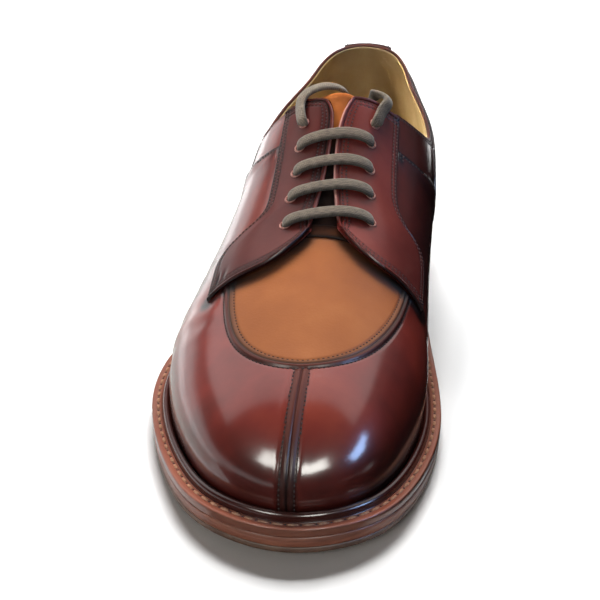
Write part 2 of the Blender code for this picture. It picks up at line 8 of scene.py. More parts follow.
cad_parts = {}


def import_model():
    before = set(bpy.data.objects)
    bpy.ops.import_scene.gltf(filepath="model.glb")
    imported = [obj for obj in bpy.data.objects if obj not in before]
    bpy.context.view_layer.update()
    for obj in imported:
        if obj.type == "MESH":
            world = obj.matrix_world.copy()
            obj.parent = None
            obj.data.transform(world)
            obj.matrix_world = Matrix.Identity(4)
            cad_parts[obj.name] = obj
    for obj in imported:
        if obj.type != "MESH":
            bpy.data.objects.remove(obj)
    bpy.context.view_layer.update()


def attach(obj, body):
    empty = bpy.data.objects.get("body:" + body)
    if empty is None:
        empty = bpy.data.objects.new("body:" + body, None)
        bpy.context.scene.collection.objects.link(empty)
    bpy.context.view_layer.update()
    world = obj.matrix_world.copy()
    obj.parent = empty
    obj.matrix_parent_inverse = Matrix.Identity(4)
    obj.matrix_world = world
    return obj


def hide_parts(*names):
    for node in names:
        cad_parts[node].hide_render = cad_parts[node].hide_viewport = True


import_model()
bpy.ops.object.select_all(action="DESELECT")


# Insole: the leather floor of the shoe, cut to the bottom of the last that the shoe
# was made on. It lies inside the welt, and its smooth side is what the foot stands on.
# Sizes are in millimetres; t runs from the back of the sole to the toe.
MM = 0.001
SOLE_LENGTH = 299.0
HEEL_HEIGHT = 21.2
HEEL_SEAT_T = 35.0
FLAT_BACK_T = 180.0
FLAT_FRONT_T = 222.0
TOE_SPRING = 3.8
STACK = 9.8               # the sole's layers, up to the feather line
SPINE_SOFT = 22.0
SPINE_BACK_T = 36.0
SPINE_FRONT_T = 250.0
CURVE_STEPS = 40
SIDES = (-1, 1)           # outer side of the foot, inner side

Station = namedtuple(
    "Station", "t outer inner welt ridge crown wall bulge_outer bulge_inner spine")
LAST = [Station(*row) for row in (
    (3.5, 0.0, 0.0, 3.5, 158.0, 2.10, 2.50, 0.07, 0.07, 0.3),
    (10.0, 17.8, 17.5, 3.5, 136.0, 2.10, 2.50, 0.06, 0.06, 0.3),
    (27.0, 29.0, 28.5, 3.5, 111.0, 2.10, 2.50, 0.00, 0.04, 0.3),
    (55.0, 32.5, 32.0, 3.6, 108.5, 2.00, 2.40, 0.10, 0.16, 0.3),
    (88.0, 34.5, 32.5, 4.0, 117.0, 2.00, 2.20, 0.19, 0.27, 0.3),
    (118.0, 39.5, 33.0, 5.0, 103.0, 2.00, 2.10, 0.14, 0.32, 0.3),
    (148.0, 47.5, 35.5, 6.2, 83.5, 2.05, 2.00, 0.07, 0.26, 0.8),
    (175.0, 53.7, 39.3, 7.0, 71.0, 2.10, 1.95, 0.03, 0.18, 1.8),
    (200.0, 54.6, 42.6, 7.0, 61.5, 2.20, 1.95, 0.04, 0.12, 2.8),
    (220.0, 51.2, 43.6, 7.0, 55.0, 2.30, 2.00, 0.04, 0.10, 3.2),
    (241.0, 44.2, 41.6, 7.2, 48.7, 2.40, 2.10, 0.05, 0.05, 3.5),
    (261.0, 34.6, 36.6, 7.7, 44.2, 2.45, 2.25, 0.05, 0.05, 3.6),
    (276.0, 24.0, 29.0, 8.4, 41.2, 2.50, 2.35, 0.05, 0.05, 3.8),
    (286.0, 10.5, 17.5, 8.9, 39.2, 2.50, 2.40, 0.05, 0.05, 4.0),
    (290.0, -4.0, 4.0, 9.0, 38.4, 2.50, 2.40, 0.05, 0.05, 4.0),
)]


def curve_through(xs, ys):
    """Smooth function through a table's points, a cubic spline that is straight at its ends."""
    xs, ys = np.asarray(xs, float), np.asarray(ys, float)
    gap = np.diff(xs)
    matrix, right = np.eye(len(xs)), np.zeros(len(xs))
    for i in range(1, len(xs) - 1):
        matrix[i, i - 1:i + 2] = gap[i - 1], 2 * (gap[i - 1] + gap[i]), gap[i]
        right[i] = 6 * ((ys[i + 1] - ys[i]) / gap[i] - (ys[i] - ys[i - 1]) / gap[i - 1])
    bend = np.linalg.solve(matrix, right)

    def value(x):
        at = np.clip(np.asarray(x, float), xs[0], xs[-1])
        i = np.clip(np.searchsorted(xs, at, side="right") - 1, 0, len(gap) - 1)
        behind, ahead = xs[i + 1] - at, at - xs[i]
        return ((bend[i] * behind ** 3 + bend[i + 1] * ahead ** 3) / (6 * gap[i])
                + (ys[i] / gap[i] - bend[i] * gap[i] / 6) * behind
                + (ys[i + 1] / gap[i] - bend[i + 1] * gap[i] / 6) * ahead)
    return value


SHAPE = {name: curve_through([row.t for row in LAST], [getattr(row, name) for row in LAST])
         for name in Station._fields if name != "t"}


def closed_curve(points):
    """Smooth closed outline through the given plan points."""
    points = np.asarray(points, float)
    count = len(points)
    step = np.linalg.norm(np.roll(points, -1, 0) - points, axis=1) ** 0.5
    matrix, right = np.zeros((count, count)), np.zeros((count, 2))
    for i in range(count):
        j = (i + 1) % count
        matrix[i, i - 1] += step[i - 1]
        matrix[i, i] += 2 * (step[i - 1] + step[i])
        matrix[i, j] += step[i]
        right[i] = 6 * ((points[j] - points[i]) / step[i] - (points[i] - points[i - 1]) / step[i - 1])
    bend = np.linalg.solve(matrix, right)
    q = np.linspace(0, 1, CURVE_STEPS, endpoint=False)[:, None]
    spans = []
    for i in range(count):
        j, scale = (i + 1) % count, step[i] ** 2 / 6
        spans.append((bend[i] * (1 - q) ** 3 + bend[j] * q ** 3) * scale
                     + (points[i] - bend[i] * scale) * (1 - q) + (points[j] - bend[j] * scale) * q)
    return np.concatenate(spans)


FEATHER = closed_curve([(-row.outer, row.t) for row in LAST]
                       + [(row.inner, row.t) for row in LAST[-2:0:-1]])
TOE = (len(LAST) - 1) * CURVE_STEPS
chord = np.roll(FEATHER, -1, 0) - np.roll(FEATHER, 1, 0)
OUTWARD = np.stack([-chord[:, 1], chord[:, 0]], -1) / np.linalg.norm(chord, axis=1)[:, None]


def half_of(line):
    """Outer and inner halves of a closed line, each from heel to toe."""
    return {-1: line[:TOE + 1], 1: np.concatenate([line[TOE:], line[:1]])[::-1]}


def travelled(line):
    """Distance along a line up to each of its points."""
    return np.concatenate([[0], np.cumsum(np.linalg.norm(np.diff(line, axis=0), axis=1))])


def read_off(at, run, line):
    """Points of a line where its running measure has the given values."""
    return np.stack([np.interp(at, run, column) for column in np.transpose(line)], -1)


EDGE, EDGE_OUT = half_of(FEATHER), half_of(OUTWARD)
SHARE = {side: travelled(EDGE[side]) / travelled(EDGE[side])[-1] for side in SIDES}


def base_point(side, u):
    """Plan point of the feather line, at share u of the way from heel to toe."""
    return read_off(u, SHARE[side], EDGE[side])


def share_at(side, t):
    """Share u of the feather line at a distance t from the back of the sole."""
    return np.interp(t, np.maximum.accumulate(EDGE[side][:, 1]), SHARE[side])


def under_height(t):
    """Height of the sole's underside above the floor."""
    q = np.clip((FLAT_BACK_T - t) / (FLAT_BACK_T - HEEL_SEAT_T), 0, 1)
    w = np.clip((t - FLAT_FRONT_T) / (SOLE_LENGTH - FLAT_FRONT_T), 0, None)
    return HEEL_HEIGHT * q * q * (3 - 2 * q) + TOE_SPRING * w * w


def spine_point(t, front=SPINE_FRONT_T):
    """Point of the crown line that the section from feather point t runs to."""
    at = 0.5 * (t + SPINE_BACK_T + np.sqrt((t - SPINE_BACK_T) ** 2 + SPINE_SOFT ** 2))
    at = 0.5 * (at + front - np.sqrt((at - front) ** 2 + SPINE_SOFT ** 2))
    return np.stack([SHAPE["spine"](at), at], -1)


def stations_from_heel(count):
    """Places from heel to toe, closer together at both ends."""
    share = 0.5 - 0.5 * np.cos(np.linspace(0, np.pi, count))
    return LAST[0].t + (LAST[-1].t - LAST[0].t) * share


WELT_EDGE = FEATHER + OUTWARD * SHAPE["welt"](FEATHER[:, 1])[:, None]
MIDDLE_X = 0.5 * (WELT_EDGE[:, 0].min() + WELT_EDGE[:, 0].max())


def world(points):
    """Shoemaker's (x, t, z) in millimetres to metres in the shoe's frame."""
    x, t, z = np.moveaxis(np.asarray(points, float), -1, 0)
    return np.stack([x - MIDDLE_X, SOLE_LENGTH / 2 - t, z], -1) * MM


def laid_grid(name, points):
    """Grid primitive with its corners laid on the given points, row by row."""
    rows, columns = points.shape[:2]
    bpy.ops.mesh.primitive_grid_add(x_subdivisions=columns - 1, y_subdivisions=rows - 1, size=1)
    piece = bpy.context.object
    piece.name = piece.data.name = name
    piece.data.vertices.foreach_set("co", world(points).reshape(-1))
    piece.data.update()
    return piece


def only(piece):
    """Makes one piece the selected and active one."""
    bpy.ops.object.select_all(action="DESELECT")
    piece.select_set(True)
    bpy.context.view_layer.objects.active = piece


MERGE = 0.02    # corners closer than this are one


def sewn(halves, inside=None):
    """Joins laid halves, merges what they share and turns the faces outwards."""
    only(halves[0])
    for half in halves[1:]:
        half.select_set(True)
    if len(halves) > 1:
        bpy.ops.object.join()
    bpy.ops.object.mode_set(mode="EDIT")
    bpy.ops.mesh.select_all(action="SELECT")
    bpy.ops.mesh.remove_doubles(threshold=MERGE * MM)
    bpy.ops.mesh.normals_make_consistent(inside=False)
    bpy.ops.object.mode_set(mode="OBJECT")
    piece = bpy.context.object
    if inside is not None:
        centre = Vector(world(inside))
        if sum((f.center - centre).dot(f.normal) * f.area for f in piece.data.polygons) < 0:
            piece.data.flip_normals()
    bpy.ops.object.shade_smooth()
    return piece


# A layer's section: share of the way from the shoe's middle, reach from the feather line,
# share of the welt's overhang, and height above the underside.
Rim = namedtuple("Rim", "fill reach share height")


def sole_layer(name, rows, count):
    """Closed layer of the sole, swept round from heel to toe on both sides."""
    halves = []
    for side in SIDES:
        u = share_at(side, stations_from_heel(count))
        u[0], u[-1] = 0.0, 1.0
        base, out = base_point(side, u), read_off(u, SHARE[side], EDGE_OUT[side])
        spine = spine_point(base[:, 1])
        lines = []
        for rim in (Rim(*row) for row in rows):
            edge = base + out * (rim.reach + rim.share * SHAPE["welt"](base[:, 1]))[:, None]
            plan = spine + (edge - spine) * rim.fill
            height = under_height(plan[:, 1]) + rim.height
            lines.append(np.concatenate([plan, height[:, None]], -1))
        halves.append(laid_grid(name, np.stack(lines, 1)))
    return sewn(halves)


def hex_linear(text):
    """sRGB hex colour as linear RGBA."""
    value = np.array([int(text[i:i + 2], 16) for i in (1, 3, 5)]) / 255
    value = np.where(value <= 0.04045, value / 12.92, ((value + 0.055) / 1.055) ** 2.4)
    return (*value, 1.0)


def finish_named(name, **sockets):
    """Material with a Principled shader, its even values set on the shader's sockets."""
    made = bpy.data.materials.new(name)
    made.use_nodes = True
    for socket, value in sockets.items():
        made.node_tree.nodes["Principled BSDF"].inputs[socket.replace("_", " ")].default_value = value
    return made


def add_node(made, kind, links=(), stops=(), feeds=None, gives=None, **settings):
    """Adds a node with its settings, ramp stops and links, and returns its output.

    links pairs inputs with values or outputs; feeds names the shader socket that the node
    goes to; gives names the output that is wanted, where it isn't the first.
    """
    node = made.node_tree.nodes.new("ShaderNode" + kind)
    for name, value in settings.items():
        setattr(node, name, value)
    for k, (place, colour) in enumerate(stops):
        ramp = node.color_ramp.elements
        element = ramp[k] if k < len(ramp) else ramp.new(place)
        element.position, element.color = place, hex_linear(colour)
    for socket, value in dict(links).items():
        if isinstance(value, bpy.types.NodeSocket):
            made.node_tree.links.new(value, node.inputs[socket])
        else:
            node.inputs[socket].default_value = value
    result = node.outputs[gives] if gives else next(out for out in node.outputs if out.enabled)
    if feeds:
        made.node_tree.links.new(result, made.node_tree.nodes["Principled BSDF"].inputs[feeds])
    return result


def fitted(piece, finish=None, stands_for=None):
    """Gives a piece its finish, fixes it to the shoe and hides the CAD node it stands for."""
    if finish:
        piece.data.materials.append(finish)
    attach(piece, "root")
    if stands_for:
        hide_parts(stands_for)


INSOLE_REACH = -2.4
INSOLE_LOW = 6.25
INSOLE_TOP = 11.0
INSOLE_DISH = 0.4
INSOLE_COUNT = 150
insole = sole_layer("insole_sock", (
    (0.0, INSOLE_REACH, 0.0, INSOLE_LOW),
    (0.6, INSOLE_REACH, 0.0, INSOLE_LOW),
    (1.0, INSOLE_REACH, 0.0, INSOLE_LOW),
    (1.0, INSOLE_REACH, 0.0, INSOLE_TOP - 0.3),
    (1.0, INSOLE_REACH - 0.4, 0.0, INSOLE_TOP),
    (0.8, INSOLE_REACH, 0.0, INSOLE_TOP - 0.25),
    (0.5, INSOLE_REACH, 0.0, INSOLE_TOP - INSOLE_DISH),
    (0.25, INSOLE_REACH, 0.0, INSOLE_TOP - INSOLE_DISH),
    (0.0, INSOLE_REACH, 0.0, INSOLE_TOP - INSOLE_DISH)), INSOLE_COUNT)

# Vegetable-tanned lining leather: matt, warm khaki, with a fine grain and cloudy tone, darkened
# with painted shade deep at the back of the heel.
lining_leather = finish_named("vegetable_tanned_lining", Roughness=0.62, IOR=1.47)
place = add_node(lining_leather, "TexCoord", gives="Object")
cloud = add_node(lining_leather, "TexNoise", {"Vector": place, "Scale": 1 / (22 * MM), "Detail": 4.0})
clean = add_node(lining_leather, "ValToRGB", {"Fac": cloud},
                 stops=((0.3, "#a88a58"), (0.5, "#c3a874"), (0.72, "#d6c090")))
painted_back_shade = add_node(lining_leather, "Attribute", attribute_name="painted_back_shade", gives="Fac")
add_node(lining_leather, "Mix", {"Factor": painted_back_shade, 6: clean, 7: hex_linear("#4a3012")},
         data_type="RGBA", feeds="Base Color")
grain = add_node(lining_leather, "TexVoronoi", {"Vector": place, "Scale": 1 / (1.1 * MM)})
add_node(lining_leather, "Bump", {"Height": grain, "Strength": 0.35, "Distance": 0.2 * MM}, feeds="Normal")
fitted(insole, lining_leather, "insole")


# Vamp, apron and quarters: polished calf wrapped over the last. The tan apron is sewn to
# the burgundy vamp in a raised seam, and a second raised seam splits the vamp at the toe.
# The lower quarter laps over the collar strip behind each facing.
BULGE_UNIT = 16.0
COLLAR_T = (3.0, 6.0, 30.0, 55.0, 70.0, 84.0, 94.0, 101.0, 106.0, 110.0, 114.0, 118.0, 122.0)
COLLAR = {
    -1: curve_through(COLLAR_T, (95, 94.5, 90.3, 85.3, 81, 77.4, 78, 80.2, 84, 91, 96.5, 101, 105)),
    1: curve_through(COLLAR_T, (95, 94.5, 90.3, 85.3, 81, 77.4, 79.3, 84.5, 90.5, 96, 100.3, 104, 108)),
}
THROAT_FRONT_T = 181.0
THROAT_BACK_T = 104.0
THROAT_ROUND = 12.0
THROAT_HALF = 8.0
THROAT_FLARE = 12.0
THROAT_FLARE_T = (117.0, 136.0)
CALF = 1.5
WITHIN = (0.0, SOLE_LENGTH / 2, STACK)    # a point inside the shoe


def skin(side, u, v):
    """Outside of the last: v is 0 at the feather line and 1 at the crown."""
    u, v = np.broadcast_arrays(np.asarray(u, float), np.asarray(v, float))
    base = base_point(side, u)
    t = base[..., 1]
    spine = spine_point(t)
    angle = np.clip(v, 0, 1) * np.pi / 2
    rise = np.sin(angle) ** (2 / SHAPE["wall"](t))
    reach = np.clip(np.cos(angle), 0, 1) ** (2 / SHAPE["crown"](t))
    bulge = SHAPE["bulge_outer" if side < 0 else "bulge_inner"](t)
    reach = reach + bulge * BULGE_UNIT * rise ** 2 * (1 - rise) ** 2
    plan = spine + (base - spine) * reach[..., None]
    low = under_height(t) + STACK
    height = low + (SHAPE["ridge"](plan[..., 1]) - low) * rise
    return np.concatenate([plan, height[..., None]], -1)


LAST_ALONG = 520
LAST_UP = 130
LAST_U, LAST_V = np.linspace(0, 1, LAST_ALONG), np.linspace(0, 1, LAST_UP)
corners, quads = [], []
for side in SIDES:
    start = len(corners)
    corners += skin(side, LAST_U[:, None], LAST_V[None, :]).reshape(-1, 3).tolist()
    i, j = np.meshgrid(np.arange(len(LAST_U) - 1), np.arange(len(LAST_V) - 1), indexing="ij")
    first = (start + i * len(LAST_V) + j).ravel()
    quads += np.stack([first, first + 1, first + len(LAST_V) + 1, first + len(LAST_V)], -1).tolist()
LAST_TREE = BVHTree.FromPolygons(corners, quads)

PANEL_SPINE_T = 222.0
AXIS_RISE = 10.0
SECTION_RAYS = 150


def section(side, u):
    """Upright section of the last from a feather point up to the middle of the shoe."""
    base = base_point(side, u)
    low = float(under_height(base[1]) + STACK)
    pin = spine_point(base[1], PANEL_SPINE_T)
    out = base - pin
    reach = np.linalg.norm(out)
    out = out / reach
    axis = Vector((pin[0], pin[1], low + AXIS_RISE))
    points = [(*base, low)]
    for angle in np.linspace(np.arctan2(-AXIS_RISE, reach), np.pi / 2, SECTION_RAYS)[2:-1]:
        hit = LAST_TREE.ray_cast(axis, Vector((*(out * np.cos(angle)), np.sin(angle))))[0]
        if hit is not None:
            points.append(tuple(hit))
    points.append((*pin, float(SHAPE["ridge"](pin[1]))))
    return np.array(points)


def smooth_step(x, low, high):
    q = np.clip((x - low) / (high - low), 0, 1)
    return q * q * (3 - 2 * q)


def throat_half(t):
    """Half the width of the throat's opening, round in front and flared behind."""
    q = np.clip((t - THROAT_FRONT_T + THROAT_ROUND) / THROAT_ROUND, 0, 1)
    return THROAT_HALF * np.sqrt(1 - q * q) + THROAT_FLARE * (1 - smooth_step(t, *THROAT_FLARE_T))


def first_over(run, over):
    """Distance along a section where a measure first rises past nothing, or its end."""
    k = int(np.argmax(over > 0))
    if over[k] <= 0 or k == 0:
        return run[-1]
    return run[k - 1] + (run[k] - run[k - 1]) * over[k - 1] / (over[k - 1] - over[k])


# Apron seam in plan, from its outer end round the toe to its inner end.
APRON_POINTS = np.array((
    (-33.0, 178.0), (-30.3, 207.0), (-27.5, 220.0), (-21.0, 235.1), (-10.3, 245.2),
    (2.4, 248.2), (16.3, 242.3), (26.7, 227.6), (33.2, 203.5), (34.6, 178.0)))
APRON_COUNT = 300
knots = travelled(APRON_POINTS)
fine = np.linspace(0, knots[-1], APRON_COUNT)
APRON = np.stack([curve_through(knots, APRON_POINTS[:, k])(fine) for k in (0, 1)], -1)
APRON_BACK_T = 186.0
# Seam between collar strip and lower quarter: height along t, for each side.
QUARTER_SEAM = {
    -1: curve_through((3, 60, 95, 108, 116.4, 122, 126.7, 131), (60, 60, 60, 62, 66, 74, 80.6, 86)),
    1: curve_through((3, 60, 95, 105, 113.2, 119.7, 122.9, 127), (60, 60, 59, 61, 65.5, 73.5, 80, 87)),
}
QUARTER_SEAM_T = {-1: (104.0, 129.0), 1: (102.0, 126.0)}
TINY = 1e-9
SLACK = 1e-6


def apron_crossing(line, run):
    """Distance along a section where it crosses the apron seam."""
    tail, head = line[0, :2], line[-1, :2]
    way = head - tail
    starts, ends = APRON[:-1], APRON[1:]
    edge = ends - starts
    cross = way[0] * edge[:, 1] - way[1] * edge[:, 0]
    cross = np.where(np.abs(cross) < TINY, TINY, cross)
    gap = starts - tail
    along = (gap[:, 0] * edge[:, 1] - gap[:, 1] * edge[:, 0]) / cross
    share = (gap[:, 0] * way[1] - gap[:, 1] * way[0]) / cross
    hit = (share >= -SLACK) & (share <= 1 + SLACK) & (along > 0) & (along < 1)
    if not hit.any():
        return None
    flat = np.linalg.norm(line[:, :2] - head, axis=1)
    wanted = np.linalg.norm(way) - along[hit].min() * np.linalg.norm(way)
    k = len(flat) - 1 - int(np.argmax(flat[::-1] > wanted))
    k = min(max(k, 0), len(run) - 2)
    q = (flat[k] - wanted) / max(flat[k] - flat[k + 1], TINY)
    return run[k] + (run[k + 1] - run[k]) * np.clip(q, 0, 1)


# Sections from heel to toe, crowded towards the toe seam by these gaps along the feather line.
SECTION_COUNT = 190
LEAST_STEP = 0.2
tip_gaps = np.array((0.3, 0.6, 0.9, 1.2, 1.5, 1.9, 2.4, 3.0, 3.6, 4.3, 5.2, 6.4))
tip_t = base_point(-1, 1 - tip_gaps / travelled(EDGE[-1])[-1])[:, 1]
STATIONS = stations_from_heel(SECTION_COUNT)
STATIONS = np.unique(np.concatenate(
    [STATIONS[STATIONS < tip_t.min() - LEAST_STEP], tip_t, [LAST[-1].t]]))
SEAM_BAND = 4.6
EDGE_BAND = 3.0
SEAM_CLEAR = 2.0
EDGE_CLEAR = 1.0
ROW_KNOTS = (0, 27, 50, 68, 76)
SEAM_ROW = (ROW_KNOTS[1] + ROW_KNOTS[2]) // 2

SECTIONS, RUNS, SEAM_S, EDGE_S = {}, {}, {}, {}
for side in SIDES:
    shares = share_at(side, STATIONS)
    shares[0], shares[-1] = 0.0, 1.0
    SECTIONS[side] = [section(side, u) for u in shares]
    RUNS[side] = [travelled(line) for line in SECTIONS[side]]
    edges, seams = [], []
    for t, line, run in zip(STATIONS, SECTIONS[side], RUNS[side]):
        over = line[:, 2] - COLLAR[side](line[:, 1])
        over[line[:, 1] > COLLAR_T[-1]] = -1
        near = throat_half(line[:, 1]) - np.abs(line[:, 0] - line[-1, 0])
        near[(line[:, 1] > THROAT_FRONT_T) | (line[:, 1] < THROAT_BACK_T)] = -1
        edges.append(min(first_over(run, over), first_over(run, near)))
        seam = None
        if t > APRON_BACK_T:
            seam = apron_crossing(line, run)
        elif t < QUARTER_SEAM_T[side][1]:
            seam = first_over(run, line[:, 2] - QUARTER_SEAM[side](line[:, 1]))
        seams.append(np.nan if seam is None else seam)
    edges, seams = np.array(edges), np.array(seams)
    known = ~np.isnan(seams)
    seams = np.interp(STATIONS, STATIONS[known], seams[known])
    EDGE_S[side] = edges
    SEAM_S[side] = np.clip(seams, SEAM_BAND + SEAM_CLEAR, edges - SEAM_BAND - EDGE_BAND - EDGE_CLEAR)


def on_section(side, k, s):
    """Point of a section at distance s up from the feather line."""
    return read_off(s, RUNS[side][k], SECTIONS[side][k])


def bump_at(d, middle, width):
    """Soft bump of height 1 at a distance d."""
    return np.exp(-((d - middle) / width) ** 2)


# A seam's cross-section: rolls and grooves by their height and place beside the seam.
Roll = namedtuple("Roll", "height middle width")


def rolled(d, rolls):
    return sum(roll.height * bump_at(d, roll.middle, roll.width) for roll in rolls)


def rounded(gap, drop, reach):
    """Drop of a rounded edge at a distance from it."""
    return drop * np.clip(1 - gap / reach, 0, 1) ** 2


toe_line = SECTIONS[-1][-1]
toe_way = toe_line[0, :2] - toe_line[-1, :2]
toe_way = toe_way / np.linalg.norm(toe_way)


def off_toe_seam(points):
    """Plan distance to the toe seam, and how far in front of the panel spine a point is."""
    gap = points[..., :2] - toe_line[-1, :2]
    return np.abs(gap[..., 0] * toe_way[1] - gap[..., 1] * toe_way[0]), gap @ toe_way


# Soft flex creases: plan ends (x, t), depth and width of each trough, with a low ridge beside it.
Crease = namedtuple("Crease", "start end depth width")
CREASES = (
    Crease((-50.0, 196.0), (-39.0, 205.0), 0.24, 3.0),
    Crease((-52.0, 207.0), (-41.0, 213.0), 0.20, 3.4),
    Crease((41.5, 193.0), (37.5, 202.0), 0.22, 3.0),
    Crease((-46.0, 168.0), (-39.0, 172.0), 0.26, 2.6),
)
RIDGE_HEIGHT = 0.6    # share of the trough's depth
RIDGE_PLACE = 1.9     # widths from its middle


def crease_lift(points):
    """Lift of the flex creases at each point of the upper."""
    total = np.zeros(points.shape[:-1])
    for crease in CREASES:
        start, end = np.array(crease.start), np.array(crease.end)
        way = end - start
        q = np.clip(((points[..., :2] - start) @ way) / (way @ way), 0, 1)
        off = np.linalg.norm(points[..., :2] - start - q[..., None] * way, axis=-1)
        ridge = RIDGE_HEIGHT * bump_at(off, RIDGE_PLACE * crease.width, crease.width)
        total += crease.depth * (ridge - bump_at(off, 0, crease.width))
    return total


SEAM_ROWS = (-2.4, 2.2)    # stitch rows beside the apron seam
TOE_ROW = 2.7              # stitch rows on both sides of the toe seam
APRON_ROLLS = (Roll(0.58, -0.9, 1.0), Roll(-0.30, 0.05, 0.3), Roll(0.40, 0.95, 0.65),
               Roll(-0.30, SEAM_ROWS[0], 0.5), Roll(-0.22, SEAM_ROWS[1], 0.4))
APRON_BURNISH = (Roll(0.35, SEAM_ROWS[0], 0.8), Roll(0.85, 0.0, 0.5), Roll(0.62, 1.3, 1.1))
APRON_FADE = 6.0
APRON_HALF = 3.0
TOE_ROLLS = (Roll(0.52, 0.95, 0.9), Roll(-0.22, 0.0, 0.35), Roll(-0.28, TOE_ROW, 0.5), Roll(0.15, 4.2, 1.0))
TOE_BURNISH = (Roll(0.25, TOE_ROW, 0.7), Roll(0.5, 0.0, 0.5))
TOE_FROM_T = 200.0
TOE_AHEAD = (10.0, 16.0)
TOE_STOP = (-3.4, -1.6)    # where the toe seam dies into the apron seam
TOE_HALF = 3.3
# The lap of the lower quarter: a step down with a groove at its foot. It sinks away under the
# facing in front and the counter behind.
LAP = 0.9
LAP_STEP = (-0.7, 0.1)
LAP_RUN = (-30.0, -4.0)
LAP_GROOVE = (Roll(-0.75, 0.6, 0.6),)
LAP_BURNISH = (Roll(1.0, 0.5, 1.3), Roll(0.5, -2.5, 1.4))
LAP_FADE = 4.0
LAP_SUNK = 0.6
LAP_TO_FACING = (5.0, 2.0)
LAP_OFF_COUNTER_T = (108.0, 114.0)
OPENING_T = (176.0, 184.0)
TOP_EDGE = (0.55, 0.9)     # drop and reach of the rounded top edge
TOP_BAND = 5.0
# Burnish: along the feather line, wider at the toe, and over the quarters; near the top edge it gives way to
# a painted highlight.
FEATHER_BURNISH = 0.72
FEATHER_REACH = 8.0
TOE_REACH = 16.0
TOE_REACH_T = (238.0, 286.0)
QUARTER_BURNISH = 0.45
QUARTER_BURNISH_T = (165.0, 205.0)
TOP_EDGE_HIGHLIGHT = 0.3
TOP_EDGE_HIGHLIGHT_REACH = (1.5, 5.5)
MOST_HIGHLIGHT = -0.12


def upper_grid(side):
    """Points, lift off the last, burnish with a painted highlight at the top edge, and seam rolls of one half
    of the upper.
    """
    rows = np.arange(ROW_KNOTS[-1] + 1)
    low_t, high_t = QUARTER_SEAM_T[side]
    points, lifts, burnish_and_shade, rolls = [], [], [], []
    for k, t in enumerate(STATIONS):
        seam, edge = SEAM_S[side][k], EDGE_S[side][k]
        s = np.interp(rows, ROW_KNOTS, (0, seam - SEAM_BAND, seam + SEAM_BAND, edge - EDGE_BAND, edge))
        line = on_section(side, k, s)
        d = s - seam
        front = smooth_step(t, APRON_BACK_T, APRON_BACK_T + APRON_FADE)
        back = smooth_step(t, low_t - LAP_FADE, low_t) * (1 - smooth_step(t, high_t, high_t + LAP_FADE))
        lap = LAP * (1 - smooth_step(d, *LAP_STEP)) * smooth_step(d, *LAP_RUN) + rolled(d, LAP_GROOVE)
        sunk = LAP_SUNK * smooth_step(t, high_t - LAP_TO_FACING[0], high_t - LAP_TO_FACING[1])
        lap = lap * (1 - sunk) * (1 - LAP_SUNK + LAP_SUNK * smooth_step(t, *LAP_OFF_COUNTER_T))
        off, ahead = off_toe_seam(line)
        nose = smooth_step(ahead, *TOE_AHEAD) * (1 - smooth_step(d, *TOE_STOP)) * (t > TOE_FROM_T)
        opening = 1 - smooth_step(t, *OPENING_T)
        lifts.append(rolled(d, APRON_ROLLS) * front + lap * back + rolled(off, TOE_ROLLS) * nose
                     - rounded(edge - s, *TOP_EDGE) * opening + crease_lift(line))
        reach = FEATHER_REACH + TOE_REACH * smooth_step(t, *TOE_REACH_T)
        burnish_and_shade.append(np.clip(
            FEATHER_BURNISH * bump_at(s, 0, reach) + nose * rolled(off, TOE_BURNISH)
            + front * rolled(d, APRON_BURNISH) + back * rolled(d, LAP_BURNISH)
            + QUARTER_BURNISH * (1 - smooth_step(t, *QUARTER_BURNISH_T))
            - opening * TOP_EDGE_HIGHLIGHT * (1 - smooth_step(edge - s, *TOP_EDGE_HIGHLIGHT_REACH)), MOST_HIGHLIGHT, 1))
        band = (edge - s < TOP_BAND) & (t < COLLAR_T[-1])
        rolls.append(((np.abs(d) < APRON_HALF) & (front > 0.5)) | ((off < TOE_HALF) & (nose > 0.5)) | band)
        points.append(line)
    return np.array(points), np.array(lifts), np.array(burnish_and_shade), np.array(rolls)


def noted(piece, name, values):
    """Keeps one number per corner on a piece, for its material or its shaping."""
    kept = piece.data.attributes.new(name, "FLOAT", "POINT")
    kept.data.foreach_set("value", np.ascontiguousarray(values).ravel())


def pressed(piece):
    """Moves a sewn piece's corners along their normals by its noted lift."""
    mesh = piece.data
    count = len(mesh.vertices)
    lift, place, normal = np.empty(count), np.empty(count * 3), np.empty(count * 3)
    mesh.attributes["lift"].data.foreach_get("value", lift)
    mesh.vertices.foreach_get("co", place)
    mesh.vertex_normals.foreach_get("vector", normal)
    mesh.vertices.foreach_set("co", place + normal * np.repeat(lift, 3) * MM)
    mesh.attributes.remove(mesh.attributes["lift"])
    mesh.update()
    return piece


def modified(piece, kind, **settings):
    """Adds a modifier with its settings and applies it."""
    only(piece)
    change = piece.modifiers.new(kind.lower(), kind)
    for name, value in settings.items():
        setattr(change, name, value)
    bpy.ops.object.modifier_apply(modifier=change.name)


def walled(piece, thickness):
    """Gives a skin its thickness, inwards, and returns its outside for laying things on."""
    outside = BVHTree.FromObject(piece, bpy.context.evaluated_depsgraph_get())
    modified(piece, "SOLIDIFY", thickness=thickness * MM, offset=-1, use_quality_normals=True)
    return outside


# Burgundy calf: deep red over a dark burnish at seams and edges, the same dark laid on as painted
# shade in shaded corners and creases and over the flanks, and pale as a painted highlight along folded
# and top edges, with close pores. The vamp is polished to a mirror with wax, the facings are left satin,
# and the raised seams are browner and duller.
# Painted shade: the leather darkens towards the flanks, away from the shoe's middle.
FLANK_DARK = 0.4
FLANK_FROM = 24.0
FLANK_FULL = 48.0


